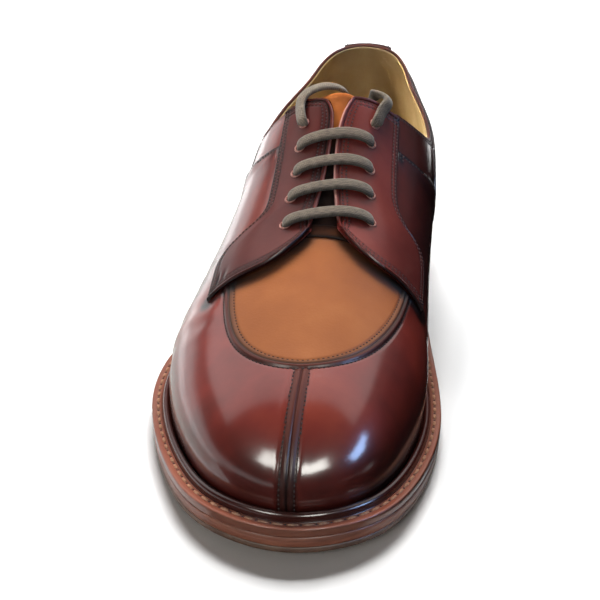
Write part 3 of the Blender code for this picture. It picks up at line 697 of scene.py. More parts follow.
def burgundy_finish(name, tones, **sockets):
    made = finish_named(name, IOR=1.5, Coat_IOR=1.5, Specular_IOR_Level=0.1, **sockets)
    place = add_node(made, "TexCoord", gives="Object")
    patina = add_node(made, "TexNoise", {"Vector": place, "Scale": 1 / (32 * MM), "Detail": 6.0})
    hide = add_node(made, "ValToRGB", {"Fac": patina}, stops=tuple(zip((0.32, 0.52, 0.74), tones)))
    sideways = add_node(made, "SeparateXYZ", {"Vector": place}, gives="X")
    aside = add_node(made, "Math", {0: sideways}, operation="ABSOLUTE")
    flank = add_node(made, "MapRange", {
        "Value": aside, "From Min": FLANK_FROM * MM, "From Max": FLANK_FULL * MM, "To Max": FLANK_DARK,
    }, interpolation_type="SMOOTHSTEP")
    marked = add_node(made, "Attribute", attribute_name="burnish_and_shade", gives="Fac")
    dark = add_node(made, "Math", {0: marked, 1: flank}, operation="ADD", use_clamp=True)
    burnt = add_node(made, "Mix", {"Factor": dark, 6: hide, 7: hex_linear("#1f0a09")}, data_type="RGBA")
    # Painted highlight: below nothing the attribute mixes in a pale pink along the edges.
    edge_highlight = add_node(made, "Math", {0: marked, 1: -1.0}, operation="MULTIPLY", use_clamp=True)
    add_node(made, "Mix", {"Factor": edge_highlight, 6: burnt, 7: hex_linear("#b98a84")}, data_type="RGBA",
             feeds="Base Color")
    pores = add_node(made, "TexVoronoi", {"Vector": place, "Scale": 1 / (1.2 * MM)})
    ripple = add_node(made, "TexNoise", {"Vector": place, "Scale": 1 / (11 * MM), "Detail": 3.0})
    fine = add_node(made, "Bump", {"Height": pores, "Strength": 0.10, "Distance": 0.1 * MM})
    add_node(made, "Bump", {"Height": ripple, "Strength": 0.12, "Distance": 0.6 * MM, "Normal": fine},
             feeds="Normal")
    return made


polished_calf = burgundy_finish("polished_burgundy_calf", ("#5f231c", "#7e2e26", "#95402f"),
                                Roughness=0.4, Coat_Weight=0.85, Coat_Roughness=0.17)
satin_calf = burgundy_finish("satin_burgundy_calf", ("#55201c", "#6a2a25", "#7c372f"),
                             Roughness=0.44, Coat_Weight=0.28, Coat_Roughness=0.26)
seam_calf = burgundy_finish("brown_waxed_seam_calf", ("#45201a", "#582a22", "#6a352a"),
                            Roughness=0.48, Coat_Weight=0.32, Coat_Roughness=0.3)


# Tan calf of the apron and tongue: an even orange brown that is darker at the seams, and darkened
# with painted shade under the facings' front edges, low on the tongue and on the throat bar. The apron
# is waxed to a soft sheen, the tongue is left dry.
def tan_finish(name, **sockets):
    made = finish_named(name, IOR=1.5, **sockets)
    place = add_node(made, "TexCoord", gives="Object")
    patina = add_node(made, "TexNoise", {"Vector": place, "Scale": 1 / (30 * MM), "Detail": 6.0})
    hide = add_node(made, "ValToRGB", {"Fac": patina},
                    stops=((0.3, "#8a4b1f"), (0.55, "#9b5827"), (0.75, "#a86533")))
    dark = add_node(made, "Attribute", attribute_name="burnish_and_shade", gives="Fac")
    add_node(made, "Mix", {"Factor": dark, 6: hide, 7: hex_linear("#1a0c08")}, data_type="RGBA",
             feeds="Base Color")
    grain = add_node(made, "TexVoronoi", {"Vector": place, "Scale": 1 / (1.0 * MM)})
    add_node(made, "Bump", {"Height": grain, "Strength": 0.22, "Distance": 0.15 * MM}, feeds="Normal")
    return made


tan_calf = tan_finish("waxed_tan_calf", Roughness=0.5, Specular_IOR_Level=0.3, Coat_Weight=0.14,
                      Coat_Roughness=0.34)
dry_tan_calf = tan_finish("dry_tan_calf", Roughness=0.62, Specular_IOR_Level=0.1)

TAN_UNDER = 8.0    # the tan goes on this far under the facings
TAN_SLOT = 2
halves = []
for side in SIDES:
    points, lifts, burnish_and_shade, rolls = upper_grid(side)
    half = laid_grid("vamp_and_quarters", points)
    noted(half, "lift", lifts)
    noted(half, "burnish_and_shade", burnish_and_shade)
    for finish in (polished_calf, seam_calf, tan_calf):
        half.data.materials.append(finish)
    which = rolls[:-1, :-1].astype(int)
    which[STATIONS[:-1] > APRON_BACK_T - TAN_UNDER, SEAM_ROW:] = TAN_SLOT
    half.data.polygons.foreach_set("material_index", which.ravel())
    halves.append(half)
upper = pressed(sewn(halves, WITHIN))
UPPER_TREE = walled(upper, CALF)
fitted(upper, stands_for="upper")


# Upper stitching: waxed linen thread in rows beside the seams and under the top line, each
# stitch a small bead half sunk in its groove.
STITCH_PITCH = 1.8
STITCH = (1.1, 0.66, 0.5)    # length, width, height
TOP_ROWS = (2.0, 3.9)
TOP_ROWS_END_T = 110.0
QUARTER_ROWS = (-1.7, -3.4)
QUARTER_ROWS_OVER = 2.0
SEAM_ROWS_START = 8.0
TOE_ROW_ENDS = (1.0, 3.4)
TOE_ROW_COUNT = 60
AHEAD = 0.5                  # how far along its row a stitch takes its direction from


def stitches(name, rows, tree, pitch=STITCH_PITCH, size=STITCH, start=0.5):
    """One bead of thread copied along rows of points, laid on a surface and joined."""
    bpy.ops.mesh.primitive_uv_sphere_add(segments=6, ring_count=4, radius=0.5)
    bead = bpy.context.object
    corners = np.array([corner.co for corner in bead.data.vertices]) * np.array(size) * MM
    sides = [tuple(face.vertices) for face in bead.data.polygons]
    bpy.data.objects.remove(bead, do_unlink=True)
    places, faces = [], []
    for row in rows:
        run = travelled(row)
        count = max(int(run[-1] / (pitch * MM)), 2)
        for at in (np.arange(count) + start) / count * run[-1]:
            spot, ahead = read_off(at, run, row), read_off(at + AHEAD * MM, run, row)
            seat, up = tree.find_nearest(Vector(spot))[:2]
            way = Vector(ahead - spot)
            way = (way - up * way.dot(up)).normalized()
            turn = np.array((way, up.cross(way), up))
            faces += [tuple(len(places) * len(corners) + k for k in side) for side in sides]
            places.append(np.array(seat) + corners @ turn)
    mesh = bpy.data.meshes.new(name)
    mesh.from_pydata(np.concatenate(places).tolist(), [], faces)
    piece = bpy.data.objects.new(name, mesh)
    bpy.context.scene.collection.objects.link(piece)
    only(piece)
    bpy.ops.object.shade_smooth()
    return piece


def thread_finish(name, low, high):
    """Linen thread: matt, its twist drawn as a soft change of tone, darkened with painted shade on the sole's
    flanks.
    """
    made = finish_named(name, Roughness=0.7, IOR=1.47)
    place = add_node(made, "TexCoord", gives="Object")
    twist = add_node(made, "TexNoise", {"Vector": place, "Scale": 1 / (0.9 * MM), "Detail": 2.0})
    clean = add_node(made, "ValToRGB", {"Fac": twist}, stops=((0.35, low), (0.65, high)))
    flank_shade = add_node(made, "Attribute", attribute_name="flank_shade", gives="Fac")
    add_node(made, "Mix", {"Factor": flank_shade, 6: clean, 7: hex_linear("#3a2018")}, data_type="RGBA",
             feeds="Base Color")
    return made


dark_thread = thread_finish("dark_linen_thread", "#1f0d0b", "#3c1e1a")
rose_thread = thread_finish("rose_linen_thread", "#3d201c", "#5b3630")


def seam_row(side, which, distance):
    return [on_section(side, k, SEAM_S[side][k] + distance) for k in which]


front = np.flatnonzero(STATIONS > APRON_BACK_T + SEAM_ROWS_START)
upper_rows = [world(seam_row(-1, front, d) + seam_row(1, front[::-1], d)) for d in SEAM_ROWS]
toe_path = on_section(-1, -1, np.linspace(TOE_ROW_ENDS[0], SEAM_S[-1][-1] - TOE_ROW_ENDS[1], TOE_ROW_COUNT))
for way in (-TOE_ROW, TOE_ROW):
    upper_rows.append(world(toe_path + np.array((toe_way[1], -toe_way[0], 0.0)) * way))
for side in SIDES:
    low_t, high_t = QUARTER_SEAM_T[side]
    which = np.flatnonzero((STATIONS > low_t) & (STATIONS < high_t + QUARTER_ROWS_OVER))
    upper_rows += [world(seam_row(side, which, d)) for d in QUARTER_ROWS]
which = np.flatnonzero(STATIONS < TOP_ROWS_END_T)
for d in TOP_ROWS:
    halves = [[on_section(side, k, EDGE_S[side][k] - d) for k in which] for side in SIDES]
    upper_rows.append(world(halves[0][::-1] + halves[1][1:]))
fitted(stitches("upper_stitching", upper_rows, UPPER_TREE), dark_thread)


# Heel counter: a burgundy overlay that stiffens the back of the quarters, lasted with the
# upper and sewn down with two rows along its top edge.
COUNTER_LIFT = 0.8
COUNTER_SUNK = 0.3
COUNTER_TOP_GAP = 5.2
COUNTER_T = (3.0, 80.0, 88.0, 98.0, 104.0, 108.0, 112.0)
COUNTER_HIGH = curve_through(COUNTER_T, (90.0, 76.0, 75.0, 70.5, 67.0, 63.5, 56.0))
COUNTER_LOW = curve_through(COUNTER_T, (0.0, 0.0, 0.0, 4.0, 17.0, 29.0, 47.0))
COUNTER_ROWS = (1.6, 3.2)
COUNTER_COUNT = 44
COUNTER_EDGE = 4.0
COUNTER_BURNISH = 0.4
COUNTER_EDGE_BURNISH = (Roll(0.5, 0.0, 1.6),)
COUNTER_FOOT_BURNISH = (Roll(0.6, 28.0, 14.0),)    # by height
OVERLAY_EDGE = (0.55, 0.7)    # drop and reach of an overlay's rounded edge
ROW_DEEP = 0.14
ROW_WIDE = 0.45
halves, counter_rows = [], []
for side in SIDES:
    lines = []
    which = np.flatnonzero(STATIONS <= COUNTER_T[-1])
    for k in which:
        line, run = SECTIONS[side][k], RUNS[side][k]
        high = min(first_over(run, line[:, 2] - COUNTER_HIGH(line[:, 1])), EDGE_S[side][k] - COUNTER_TOP_GAP)
        low = run[int(np.argmax(line[:, 2] >= COUNTER_LOW(line[:, 1])))]
        spread = np.interp(np.linspace(0, 1, COUNTER_COUNT), (0, 0.8, 1), (low, high - COUNTER_EDGE, high))
        lines.append(on_section(side, k, spread))
    points = np.array(lines)
    top_gap = np.stack([travelled(line)[-1] - travelled(line) for line in points])
    gap = np.minimum(top_gap, (COUNTER_T[-1] - STATIONS[which])[:, None])
    half = laid_grid("heel_counter", points)
    noted(half, "lift", COUNTER_LIFT - rounded(gap, *OVERLAY_EDGE)
          - sum(ROW_DEEP * bump_at(gap, row, ROW_WIDE) for row in COUNTER_ROWS))
    noted(half, "burnish_and_shade", np.clip(COUNTER_BURNISH + rolled(gap, COUNTER_EDGE_BURNISH)
                                   + rolled(points[..., 2], COUNTER_FOOT_BURNISH), 0, 1))
    halves.append(half)
    for row in COUNTER_ROWS:
        counter_rows.append(world([read_off(-row, -far, line) for line, far in zip(points, top_gap)
                                   if far[0] > 2 * row]))
counter = pressed(sewn(halves, WITHIN))
COUNTER_TREE = walled(counter, COUNTER_LIFT + COUNTER_SUNK)
fitted(counter, polished_calf)
fitted(stitches("counter_stitching", counter_rows, COUNTER_TREE), dark_thread)


# Heel tab: a short strip of calf over the back seam, sewn on last, its top edge turned over
# the top line.
TAB_HALF = 9.5
TAB_SLANT = 1.25         # it widens downwards
TAB_LENGTH = 30.0
TAB_TOP_GAP = 0.1
TAB_LIFT = 1.6
TAB_SUNK = 0.2
TAB_ROW = 1.6
TAB_FOOT_POINT = 3       # the point of each line that the foot's stitch row follows
TAB_COUNT = 50
TAB_BURNISH = 0.3
TAB_EDGE_BURNISH = (Roll(0.6, 0.0, 1.6),)
halves, tab_rows = [], []
for side in SIDES:
    starts = np.abs([line[0, 0] for line in SECTIONS[side]])
    which = np.flatnonzero((starts < TAB_HALF * TAB_SLANT) & (STATIONS <= HEEL_SEAT_T))
    points = np.array([on_section(side, k, np.linspace(top - TAB_LENGTH, top - TAB_TOP_GAP, TAB_COUNT))
                       for k, top in zip(which, EDGE_S[side][which])])
    down = np.linspace(TAB_LENGTH, 0, TAB_COUNT)
    sideways = np.abs(points[-1:, :, 0]) - np.abs(points[..., 0])
    gap = np.minimum(np.minimum(TAB_LENGTH - down, down), sideways)
    half = laid_grid("heel_tab", points)
    noted(half, "lift", TAB_LIFT - rounded(gap, *OVERLAY_EDGE) - ROW_DEEP * bump_at(gap, TAB_ROW, ROW_WIDE))
    noted(half, "burnish_and_shade", TAB_BURNISH + rolled(gap, TAB_EDGE_BURNISH))
    halves.append(half)
    inward = points[-3] - points[-1]
    upright = points[-1] + TAB_ROW * inward / np.linalg.norm(inward, axis=1)[:, None]
    tab_rows += [world(points[:, TAB_FOOT_POINT]), world(upright)]
tab = pressed(sewn(halves, WITHIN))
TAB_TREE = walled(tab, TAB_LIFT + TAB_SUNK)
fitted(tab, polished_calf)
fitted(stitches("tab_stitching", tab_rows, TAB_TREE), dark_thread)


# Quarter lining: one thin skin of undyed leather, glued inside the upper and trimmed
# a little below the top line, so that the upper's burgundy edge shows above it.
LINING = 0.5
LINING_TRIM = 1.0
LINING_FOOT = 0.5
LINING_EDGE = 5.0
LINING_SET = CALF + 0.05
LINING_COUNT = 40
# Painted shade: the lining darkens at the middle of the back, deep inside the heel, and fades along the
# sides.
BACK_SHADE = 0.5
BACK_SHADE_X = (10.0, 26.0)
BACK_SHADE_T = (60.0, 90.0)
every_second = np.unique(np.append(np.arange(0, len(STATIONS), 2), len(STATIONS) - 1))
halves = []
for side in SIDES:
    points = []
    for k in every_second:
        edge = EDGE_S[side][k]
        spread = np.interp(np.linspace(0, 1, LINING_COUNT), (0, 0.85, 1),
                           (LINING_FOOT, edge - LINING_EDGE, edge - LINING_TRIM))
        points.append(on_section(side, k, spread))
    points = np.array(points)
    half = laid_grid("quarter_lining", points)
    noted(half, "lift", np.full(points.shape[:2], -LINING_SET))
    noted(half, "painted_back_shade", BACK_SHADE * (1 - smooth_step(np.abs(points[..., 0]), *BACK_SHADE_X))
          * (1 - smooth_step(points[..., 1], *BACK_SHADE_T)))
    halves.append(half)
lining = pressed(sewn(halves, WITHIN))
walled(lining, LINING)
fitted(lining, lining_leather)


# Facings: the burgundy quarters' fronts that carry the eyelets, lapped over the vamp and
# sewn down behind, with a folded edge along the throat and the front that stands clear.
FACING_TOP = 1.9
FACING_BACK = 1.15
FACING_SLOPE = (0.1, 0.5)
FACING_WALL = 1.9
FRONT_FROM = 0.7
FRONT_BOW = {-1: 9.0, 1: 7.2}
FRONT_LIFT = 2.2
SIDE_WORD = {-1: "outer", 1: "inner"}
CAD_WORD = {-1: "lateral", 1: "medial"}
Facing = namedtuple("Facing", "edge_t gap outer_t outer_v")
FACINGS = {
    -1: ((119.5, 4.6, 112.0, 0.625), (126.0, 1.7, 118.0, 0.635), (135.0, 1.2, 130.0, 0.655),
         (145.0, 1.5, 143.0, 0.68), (156.0, 2.3, 157.0, 0.70), (166.0, 3.3, 167.5, 0.67),
         (175.0, 4.6, 175.0, 0.52), (179.5, 5.0, 188.5, 0.51), (183.3, 5.4, 203.5, 0.52)),
    1: ((117.5, 4.6, 109.5, 0.59), (125.0, 1.9, 118.0, 0.585), (134.0, 0.6, 130.0, 0.583),
        (144.0, 0.5, 142.0, 0.58), (155.0, 1.1, 150.5, 0.56), (165.0, 2.3, 155.5, 0.49),
        (173.0, 3.4, 159.0, 0.40), (177.5, 4.5, 173.5, 0.38), (181.0, 5.4, 189.5, 0.385)),
}
EYELETS = {   # from the top pair down: t and v
    -1: ((127.5, 0.805), (138.6, 0.815), (150.9, 0.831), (164.2, 0.835), (178.5, 0.841)),
    1: ((123.5, 0.741), (132.8, 0.758), (144.4, 0.756), (156.0, 0.746), (170.0, 0.738)),
}
EYELET_RADIUS = 1.9
HOLE_SIDES = 28
PUNCH_LIFTS = (-2.0, 7.0)
CUT_ANGLE = 50.0
EDGE_ROWS = (3.2, 4.9)    # stitch rows in from the folded edges
BACK_ROWS = (1.5, 3.2)    # and from the sewn rear edge
FREE_EDGE = (0.75, 0.9)
BACK_EDGE = (0.60, 0.7)
FREE_ROLLS = (Roll(0.32, 0.9, 0.7), Roll(-0.45, 2.0, 0.32), *(Roll(-0.22, row, 0.45) for row in EDGE_ROWS))
BACK_ROLLS = tuple(Roll(-0.15, row, 0.45) for row in BACK_ROWS)
FREE_BURNISH = (Roll(0.55, 2.0, 0.4), *(Roll(0.3, row, 0.6) for row in EDGE_ROWS))
BACK_BURNISH = (Roll(0.9, 0.0, 1.2), *(Roll(0.45, row, 0.6) for row in BACK_ROWS))
# Painted shade: the whole outer facing is darkened, and so is its front cut edge.
OUTER_SHADE = 0.58
NOSE_SHADE = (Roll(1.0, 0.0, 0.4),)
# Painted highlight: a pale line along the throat's folded edge.
THROAT_HIGHLIGHT = (Roll(1.1, 0.35, 0.4),)
HIGHLIGHT_FROM_TOP = (1.0, 5.0)
HIGHLIGHT_FROM_NOSE = (2.0, 12.0)
# Small folds at the outer facing's corner, by their distance from its rear edge, with painted shade in their
# troughs.
CORNER_FOLDS = (Roll(-0.5, 4.6, 0.8), Roll(-0.4, 7.6, 0.8))
FOLD_SHADE = (Roll(0.4, 4.6, 0.8), Roll(0.4, 7.6, 0.8))
FOLD_FROM_FRONT = 7.5
FOLD_LENGTH = 3.5
FACING_ALONG = 170
FACING_ACROSS = 64
FACING_SPREAD = ((0, 0.3, 0.75, 1), (0, 0.16, 0.86, 1))    # columns crowd towards both edges
NORMAL_STEP = 0.002


def lifted(side, u, v, lift):
    """Point at a distance outside the last, along its normal."""
    u, v = np.broadcast_arrays(np.asarray(u, float), np.asarray(v, float))
    along = skin(side, np.clip(u + NORMAL_STEP, 0, 1), v) - skin(side, np.clip(u - NORMAL_STEP, 0, 1), v)
    across = skin(side, u, np.clip(v + NORMAL_STEP, 0, 1)) - skin(side, u, np.clip(v - NORMAL_STEP, 0, 1))
    normal = np.cross(along, across) * side
    normal /= np.linalg.norm(normal, axis=-1, keepdims=True)
    return skin(side, u, v) + normal * np.broadcast_to(lift, u.shape)[..., None]


def gap_v(side, u, half_gap):
    """v at a plan distance from the crown line."""
    base = base_point(side, u)
    full = np.linalg.norm(base - spine_point(base[..., 1]), axis=-1)
    return np.arccos(np.clip(half_gap / full, 0, 1) ** (SHAPE["crown"](base[..., 1]) / 2)) * 2 / np.pi


def top_line(side, count=400):
    """v of the top line at each share u, or 1 where there is none."""
    u = v = np.linspace(0, 1, count)
    points = skin(side, u[:, None], v[None, :])
    over = points[..., 2] - COLLAR[side](points[..., 1])
    over[points[..., 1] > COLLAR_T[-1]] = -1
    found = np.array([first_over(v, row) for row in over])
    return lambda share: np.interp(share, u, found)


TOP_V = {side: top_line(side) for side in SIDES}


def edge_gaps(points):
    """Distances of each point of a laid grid from its first and last row and column."""
    def runs(grid):
        step = np.linalg.norm(np.diff(grid, axis=0), axis=-1)
        return np.concatenate([np.zeros((1, grid.shape[1])), np.cumsum(step, 0)])
    down, over = runs(points), runs(points.swapaxes(0, 1)).T
    return down, down[-1:] - down, over, over[:, -1:] - over


def facing_grid(side):
    """Points, burnish with painted shade and highlight, and distances from top, front, throat and rear edge
    of one facing.
    """
    rows = [Facing(*row) for row in FACINGS[side]]
    at = np.linspace(0, len(rows) - 1, FACING_ALONG)
    edge_t, gap, outer_t, outer_v = (
        curve_through(range(len(rows)), [getattr(row, name) for row in rows])(at)[:, None]
        for name in Facing._fields)
    share = share_at(side, edge_t)
    inner_v = np.minimum(gap_v(side, share, gap), TOP_V[side](share))
    q = np.interp(np.linspace(0, 1, FACING_ACROSS), *FACING_SPREAD)
    front = np.clip((at / at[-1] - FRONT_FROM) / (1 - FRONT_FROM), 0, 1)[:, None]
    bow = FRONT_BOW[side] * 27 / 4 * q * (1 - q) ** 2 * front    # 27 / 4 makes the greatest bow 1
    u = share_at(side, edge_t * (1 - q) + outer_t * q + bow)
    v = np.minimum(inner_v * (1 - q) + outer_v * q, TOP_V[side](u))
    top, nose, throat, back = edge_gaps(lifted(side, u, v, 1.0))
    free = np.minimum(np.minimum(top, nose), throat)
    height = (FACING_BACK + (FACING_TOP - FACING_BACK) * smooth_step(1 - q, *FACING_SLOPE)
              + FRONT_LIFT * front ** 2 * (1 - q * q) + rolled(free, FREE_ROLLS) + rolled(back, BACK_ROLLS)
              - rounded(free, *FREE_EDGE) - rounded(back, *BACK_EDGE))
    burnish_and_shade = rolled(free, FREE_BURNISH) + rolled(back, BACK_BURNISH)
    if side < 0:
        near_front = bump_at(nose, FOLD_FROM_FRONT, FOLD_LENGTH)
        height = height + rolled(back, CORNER_FOLDS) * near_front
        burnish_and_shade = burnish_and_shade + rolled(back, FOLD_SHADE) * near_front + OUTER_SHADE
    edge_highlight = rolled(throat, THROAT_HIGHLIGHT) * smooth_step(top, *HIGHLIGHT_FROM_TOP) * smooth_step(nose, *HIGHLIGHT_FROM_NOSE)
    burnish_and_shade = np.minimum(np.clip(burnish_and_shade, 0, 1) - edge_highlight + rolled(nose, NOSE_SHADE), 1)
    return lifted(side, u, v, height), burnish_and_shade, (top, nose, throat, back)


FACING_TREE, FACING_MAP = {}, {}
for side in SIDES:
    points, burnish_and_shade, gaps = facing_grid(side)
    FACING_MAP[side] = points, gaps
    piece = laid_grid("facing_" + SIDE_WORD[side], points)
    noted(piece, "burnish_and_shade", burnish_and_shade)
    piece = sewn([piece], WITHIN)
    piece.data.materials.append(satin_calf)
    FACING_TREE[side] = walled(piece, FACING_WALL)
    spots = np.array(EYELETS[side])
    low, high = (lifted(side, share_at(side, spots[:, 0]), spots[:, 1], lift) for lift in PUNCH_LIFTS)
    for foot, head in zip(world(low), world(high)):
        axis = Vector(head - foot)
        bpy.ops.mesh.primitive_cylinder_add(
            vertices=HOLE_SIDES, radius=EYELET_RADIUS * MM, depth=axis.length,
            location=(foot + head) / 2, rotation=axis.to_track_quat("Z", "Y").to_euler())
        punch = bpy.context.object
        modified(piece, "BOOLEAN", operation="DIFFERENCE", solver="EXACT", object=punch)
        bpy.data.objects.remove(punch, do_unlink=True)
    only(piece)
    bpy.ops.object.shade_smooth_by_angle(angle=np.radians(CUT_ANGLE))
    fitted(piece, stands_for="facing_" + CAD_WORD[side])

# Painted shadow: the vamp is darkened in the corner under the facings' front edges, where they stand clear of
# it.
CORNER_SHADOW = 0.92
CORNER_SHADOW_REACH = 2.3
count = len(upper.data.vertices)
corners, level = np.empty(count * 3), np.empty(count)
upper.data.vertices.foreach_get("co", corners)
upper.data.attributes["burnish_and_shade"].data.foreach_get("value", level)
edge = world(np.concatenate([FACING_MAP[side][0][-1] for side in SIDES]))
apart = np.min([np.linalg.norm(corners.reshape(-1, 3) - spot, axis=1) for spot in edge], axis=0)
level = np.clip(level + CORNER_SHADOW * bump_at(apart / MM, FRONT_LIFT, CORNER_SHADOW_REACH), 0, 1)
upper.data.attributes["burnish_and_shade"].data.foreach_set("value", level)


# Facing stitching: the same thread, two dark rows inside the folded edges and two lighter
# rows that sew down the rear edge.
ROW_END = 1.0


def along_gap(points, gap, level, keep):
    """Where each line of a laid grid is first at a distance from the edge it starts at."""
    found = []
    for line, far, kept in zip(points, gap, keep):
        k = int(np.argmax(far >= level))
        if k > 0 and kept[k]:
            found.append(line[k - 1] + (line[k] - line[k - 1]) * (level - far[k - 1]) / (far[k] - far[k - 1]))
    return found


for side in SIDES:
    points, (top, nose, throat, back) = FACING_MAP[side]
    edge_rows = []
    for d in EDGE_ROWS:
        over = along_gap(points.swapaxes(0, 1), top.T, d, throat.T >= d)[::-1]
        down = along_gap(points, throat, d, (top >= d) & (nose >= d))
        front = along_gap(points[::-1].swapaxes(0, 1), nose[::-1].T, d, throat[::-1].T >= d)
        edge_rows.append(world(over + down + front))
    inner = ((top > ROW_END) & (nose > ROW_END))[:, ::-1]
    back_rows = [world(along_gap(points[:, ::-1], back[:, ::-1], d, inner)) for d in BACK_ROWS]
    for rows, thread, kind in ((edge_rows, dark_thread, "edge"), (back_rows, rose_thread, "rear")):
        name = "facing_%s_%s_stitching" % (SIDE_WORD[side], kind)
        fitted(stitches(name, rows, FACING_TREE[side]), thread)


# Eyelet edges: the punched holes are set blind, and only the pale cut edge of the leather
# shows round each.
EYELET_EDGE = 0.42
EYELET_EASE = 0.1
EDGE_SIDES = 8
cut_edge = thread_finish("cut_calf_edge", "#8f5a50", "#c08e82")
rings = []
for side in SIDES:
    spots = np.array(EYELETS[side])
    for seat in world(lifted(side, share_at(side, spots[:, 0]), spots[:, 1], FACING_TOP)):
        spot, up = FACING_TREE[side].find_nearest(Vector(seat))[:2]
        bpy.ops.mesh.primitive_torus_add(
            major_radius=(EYELET_RADIUS + EYELET_EASE) * MM, minor_radius=EYELET_EDGE * MM,
            major_segments=HOLE_SIDES, minor_segments=EDGE_SIDES, location=spot,
            rotation=up.to_track_quat("Z", "Y").to_euler())
        bpy.ops.object.transform_apply()
        rings.append(bpy.context.object)
rings[0].name = rings[0].data.name = "eyelet_edges"
fitted(sewn(rings), cut_edge)


# Tongue: a plain tan calf tongue under the throat, sewn in below the apron and standing
# up to the top line, where its rounded end shows between the facings.
TONGUE_WALL = 2.0
TONGUE_TOP_T = 113.5
TONGUE_FRONT_T = 192.0
TONGUE_EDGE_V = 0.72
TONGUE_SET = 3.1
TONGUE_ALONG = 90
TONGUE_ACROSS = 26
TONGUE_HEM = (Roll(0.5, 2.0, 2.0),)
TONGUE_END = (0.5, 1.0)
TONGUE_END_BURNISH = (Roll(0.2, 0.0, 1.5),)
TONGUE_SHADE_FROM = (12.0, 24.0)    # below its end it is darkened with painted shade, deep between the facings
halves = []
stations = np.linspace(TONGUE_TOP_T, TONGUE_FRONT_T, TONGUE_ALONG)
for side in SIDES:
    u, v = np.meshgrid(share_at(side, stations), np.linspace(1, TONGUE_EDGE_V, TONGUE_ACROSS), indexing="ij")
    half = laid_grid("tongue_leather", lifted(side, u, v, -TONGUE_SET))
    fall = (stations - TONGUE_TOP_T)[:, None] + 0 * v
    noted(half, "lift", rolled(fall, TONGUE_HEM) - rounded(fall, *TONGUE_END))
    noted(half, "burnish_and_shade", np.minimum(smooth_step(fall, *TONGUE_SHADE_FROM)
                                      + rolled(fall, TONGUE_END_BURNISH), 1))
    halves.append(half)
tongue = pressed(sewn(halves, WITHIN))
walled(tongue, TONGUE_WALL)
fitted(tongue, dry_tan_calf, "tongue")


# Throat bar: a narrow strip of tan calf sewn across the foot of the throat, where tongue
# and apron meet under the facings; its dark is partly the strip's own and partly painted shade.
BAR_X = (-10.0, 13.0)
BAR_T = (177.5, 184.0)
BAR_LIFT = 0.8
BAR_EDGE = (0.6, 0.9)
BAR_BURNISH_AND_SHADE = 0.9
BAR_EDGE_BURNISH = (Roll(0.1, 0.0, 1.2),)
BAR_ACROSS = 40
BAR_ALONG = 14
ABOVE = 200.0
across, along = np.linspace(*BAR_X, BAR_ACROSS), np.linspace(*BAR_T, BAR_ALONG)
points = np.array([[tuple(LAST_TREE.ray_cast(Vector((x, t, ABOVE)), Vector((0, 0, -1)))[0]) for x in across]
                   for t in along])
throat_bar = laid_grid("throat_bar", points)
gap = np.minimum(along - along[0], along[-1] - along)[:, None] + 0 * across
noted(throat_bar, "lift", BAR_LIFT - rounded(gap, *BAR_EDGE))
noted(throat_bar, "burnish_and_shade", BAR_BURNISH_AND_SHADE + rolled(gap, BAR_EDGE_BURNISH))
throat_bar = pressed(sewn([throat_bar], WITHIN))
modified(throat_bar, "SOLIDIFY", thickness=BAR_LIFT * MM, offset=-1)
fitted(throat_bar, dry_tan_calf)


# Storm welt: a strip of brown leather sewn round the feather line. Its inner edge is
# rolled up into a glossy bead against the upper, and its flat carries the sole stitch.
WELT_TOP = 9.5
WELT_LOW = 6.25
WELT_FULL = 7.0
WELT_COUNT = 481
WeltRow = namedtuple("WeltRow", "reach share height bead", defaults=(0.0,))
WELT = [WeltRow(*row) for row in (
    (-2.3, 0.0, WELT_LOW), (-0.4, 1.0, WELT_LOW), (-0.05, 1.0, WELT_LOW + 0.25),
    (0.0, 1.0, WELT_LOW + 0.6), (0.02, 1.0, 8.0), (0.0, 1.0, WELT_TOP - 0.55),
    (-0.12, 1.0, WELT_TOP - 0.2), (-0.45, 1.0, WELT_TOP), (-0.9, 1.0, WELT_TOP + 0.03),
    (0.0, 0.74, WELT_TOP - 0.04), (0.0, 0.68, WELT_TOP - 0.1), (0.0, 0.62, WELT_TOP - 0.04),
    (0.0, 0.54, WELT_TOP), (0.0, 0.50, WELT_TOP - 0.12), (0.0, 0.475, WELT_TOP - 0.55),
    (0.0, 0.455, WELT_TOP - 0.5), (0.0, 0.44, WELT_TOP - 0.1, 0.2), (0.0, 0.43, WELT_TOP, 0.75),
    (0.0, 0.405, WELT_TOP, 1.25), (0.0, 0.36, WELT_TOP, 1.68), (0.0, 0.30, WELT_TOP, 1.95),
    (0.1, 0.22, WELT_TOP, 2.08), (0.2, 0.15, WELT_TOP, 2.02), (0.35, 0.08, WELT_TOP, 1.75),
    (0.4, 0.02, WELT_TOP, 1.3), (0.4, 0.0, WELT_TOP), (-2.3, 0.0, WELT_TOP), (-2.3, 0.0, WELT_LOW),
)]
FLAT_ROWS = range(6, 15)
BEAD_ROWS = range(15, 26)
WELT_FLANK = (0.030, 0.050)    # metres from the middle, where welt and thread are darkened with painted shade
FLANK_FLAT = 0.35
steps = travelled(np.concatenate([FEATHER, FEATHER[:1]]))
RING = np.interp(np.linspace(0, 1, WELT_COUNT) * steps[-1], steps, np.arange(len(steps)))


def ring_line(reach, share):
    """Closed plan line round the sole, beside the feather line."""
    line = FEATHER + OUTWARD * (reach + share * SHAPE["welt"](FEATHER[:, 1]))[:, None]
    line = np.concatenate([line, line[:1]])
    return read_off(RING, np.arange(len(line)), line)


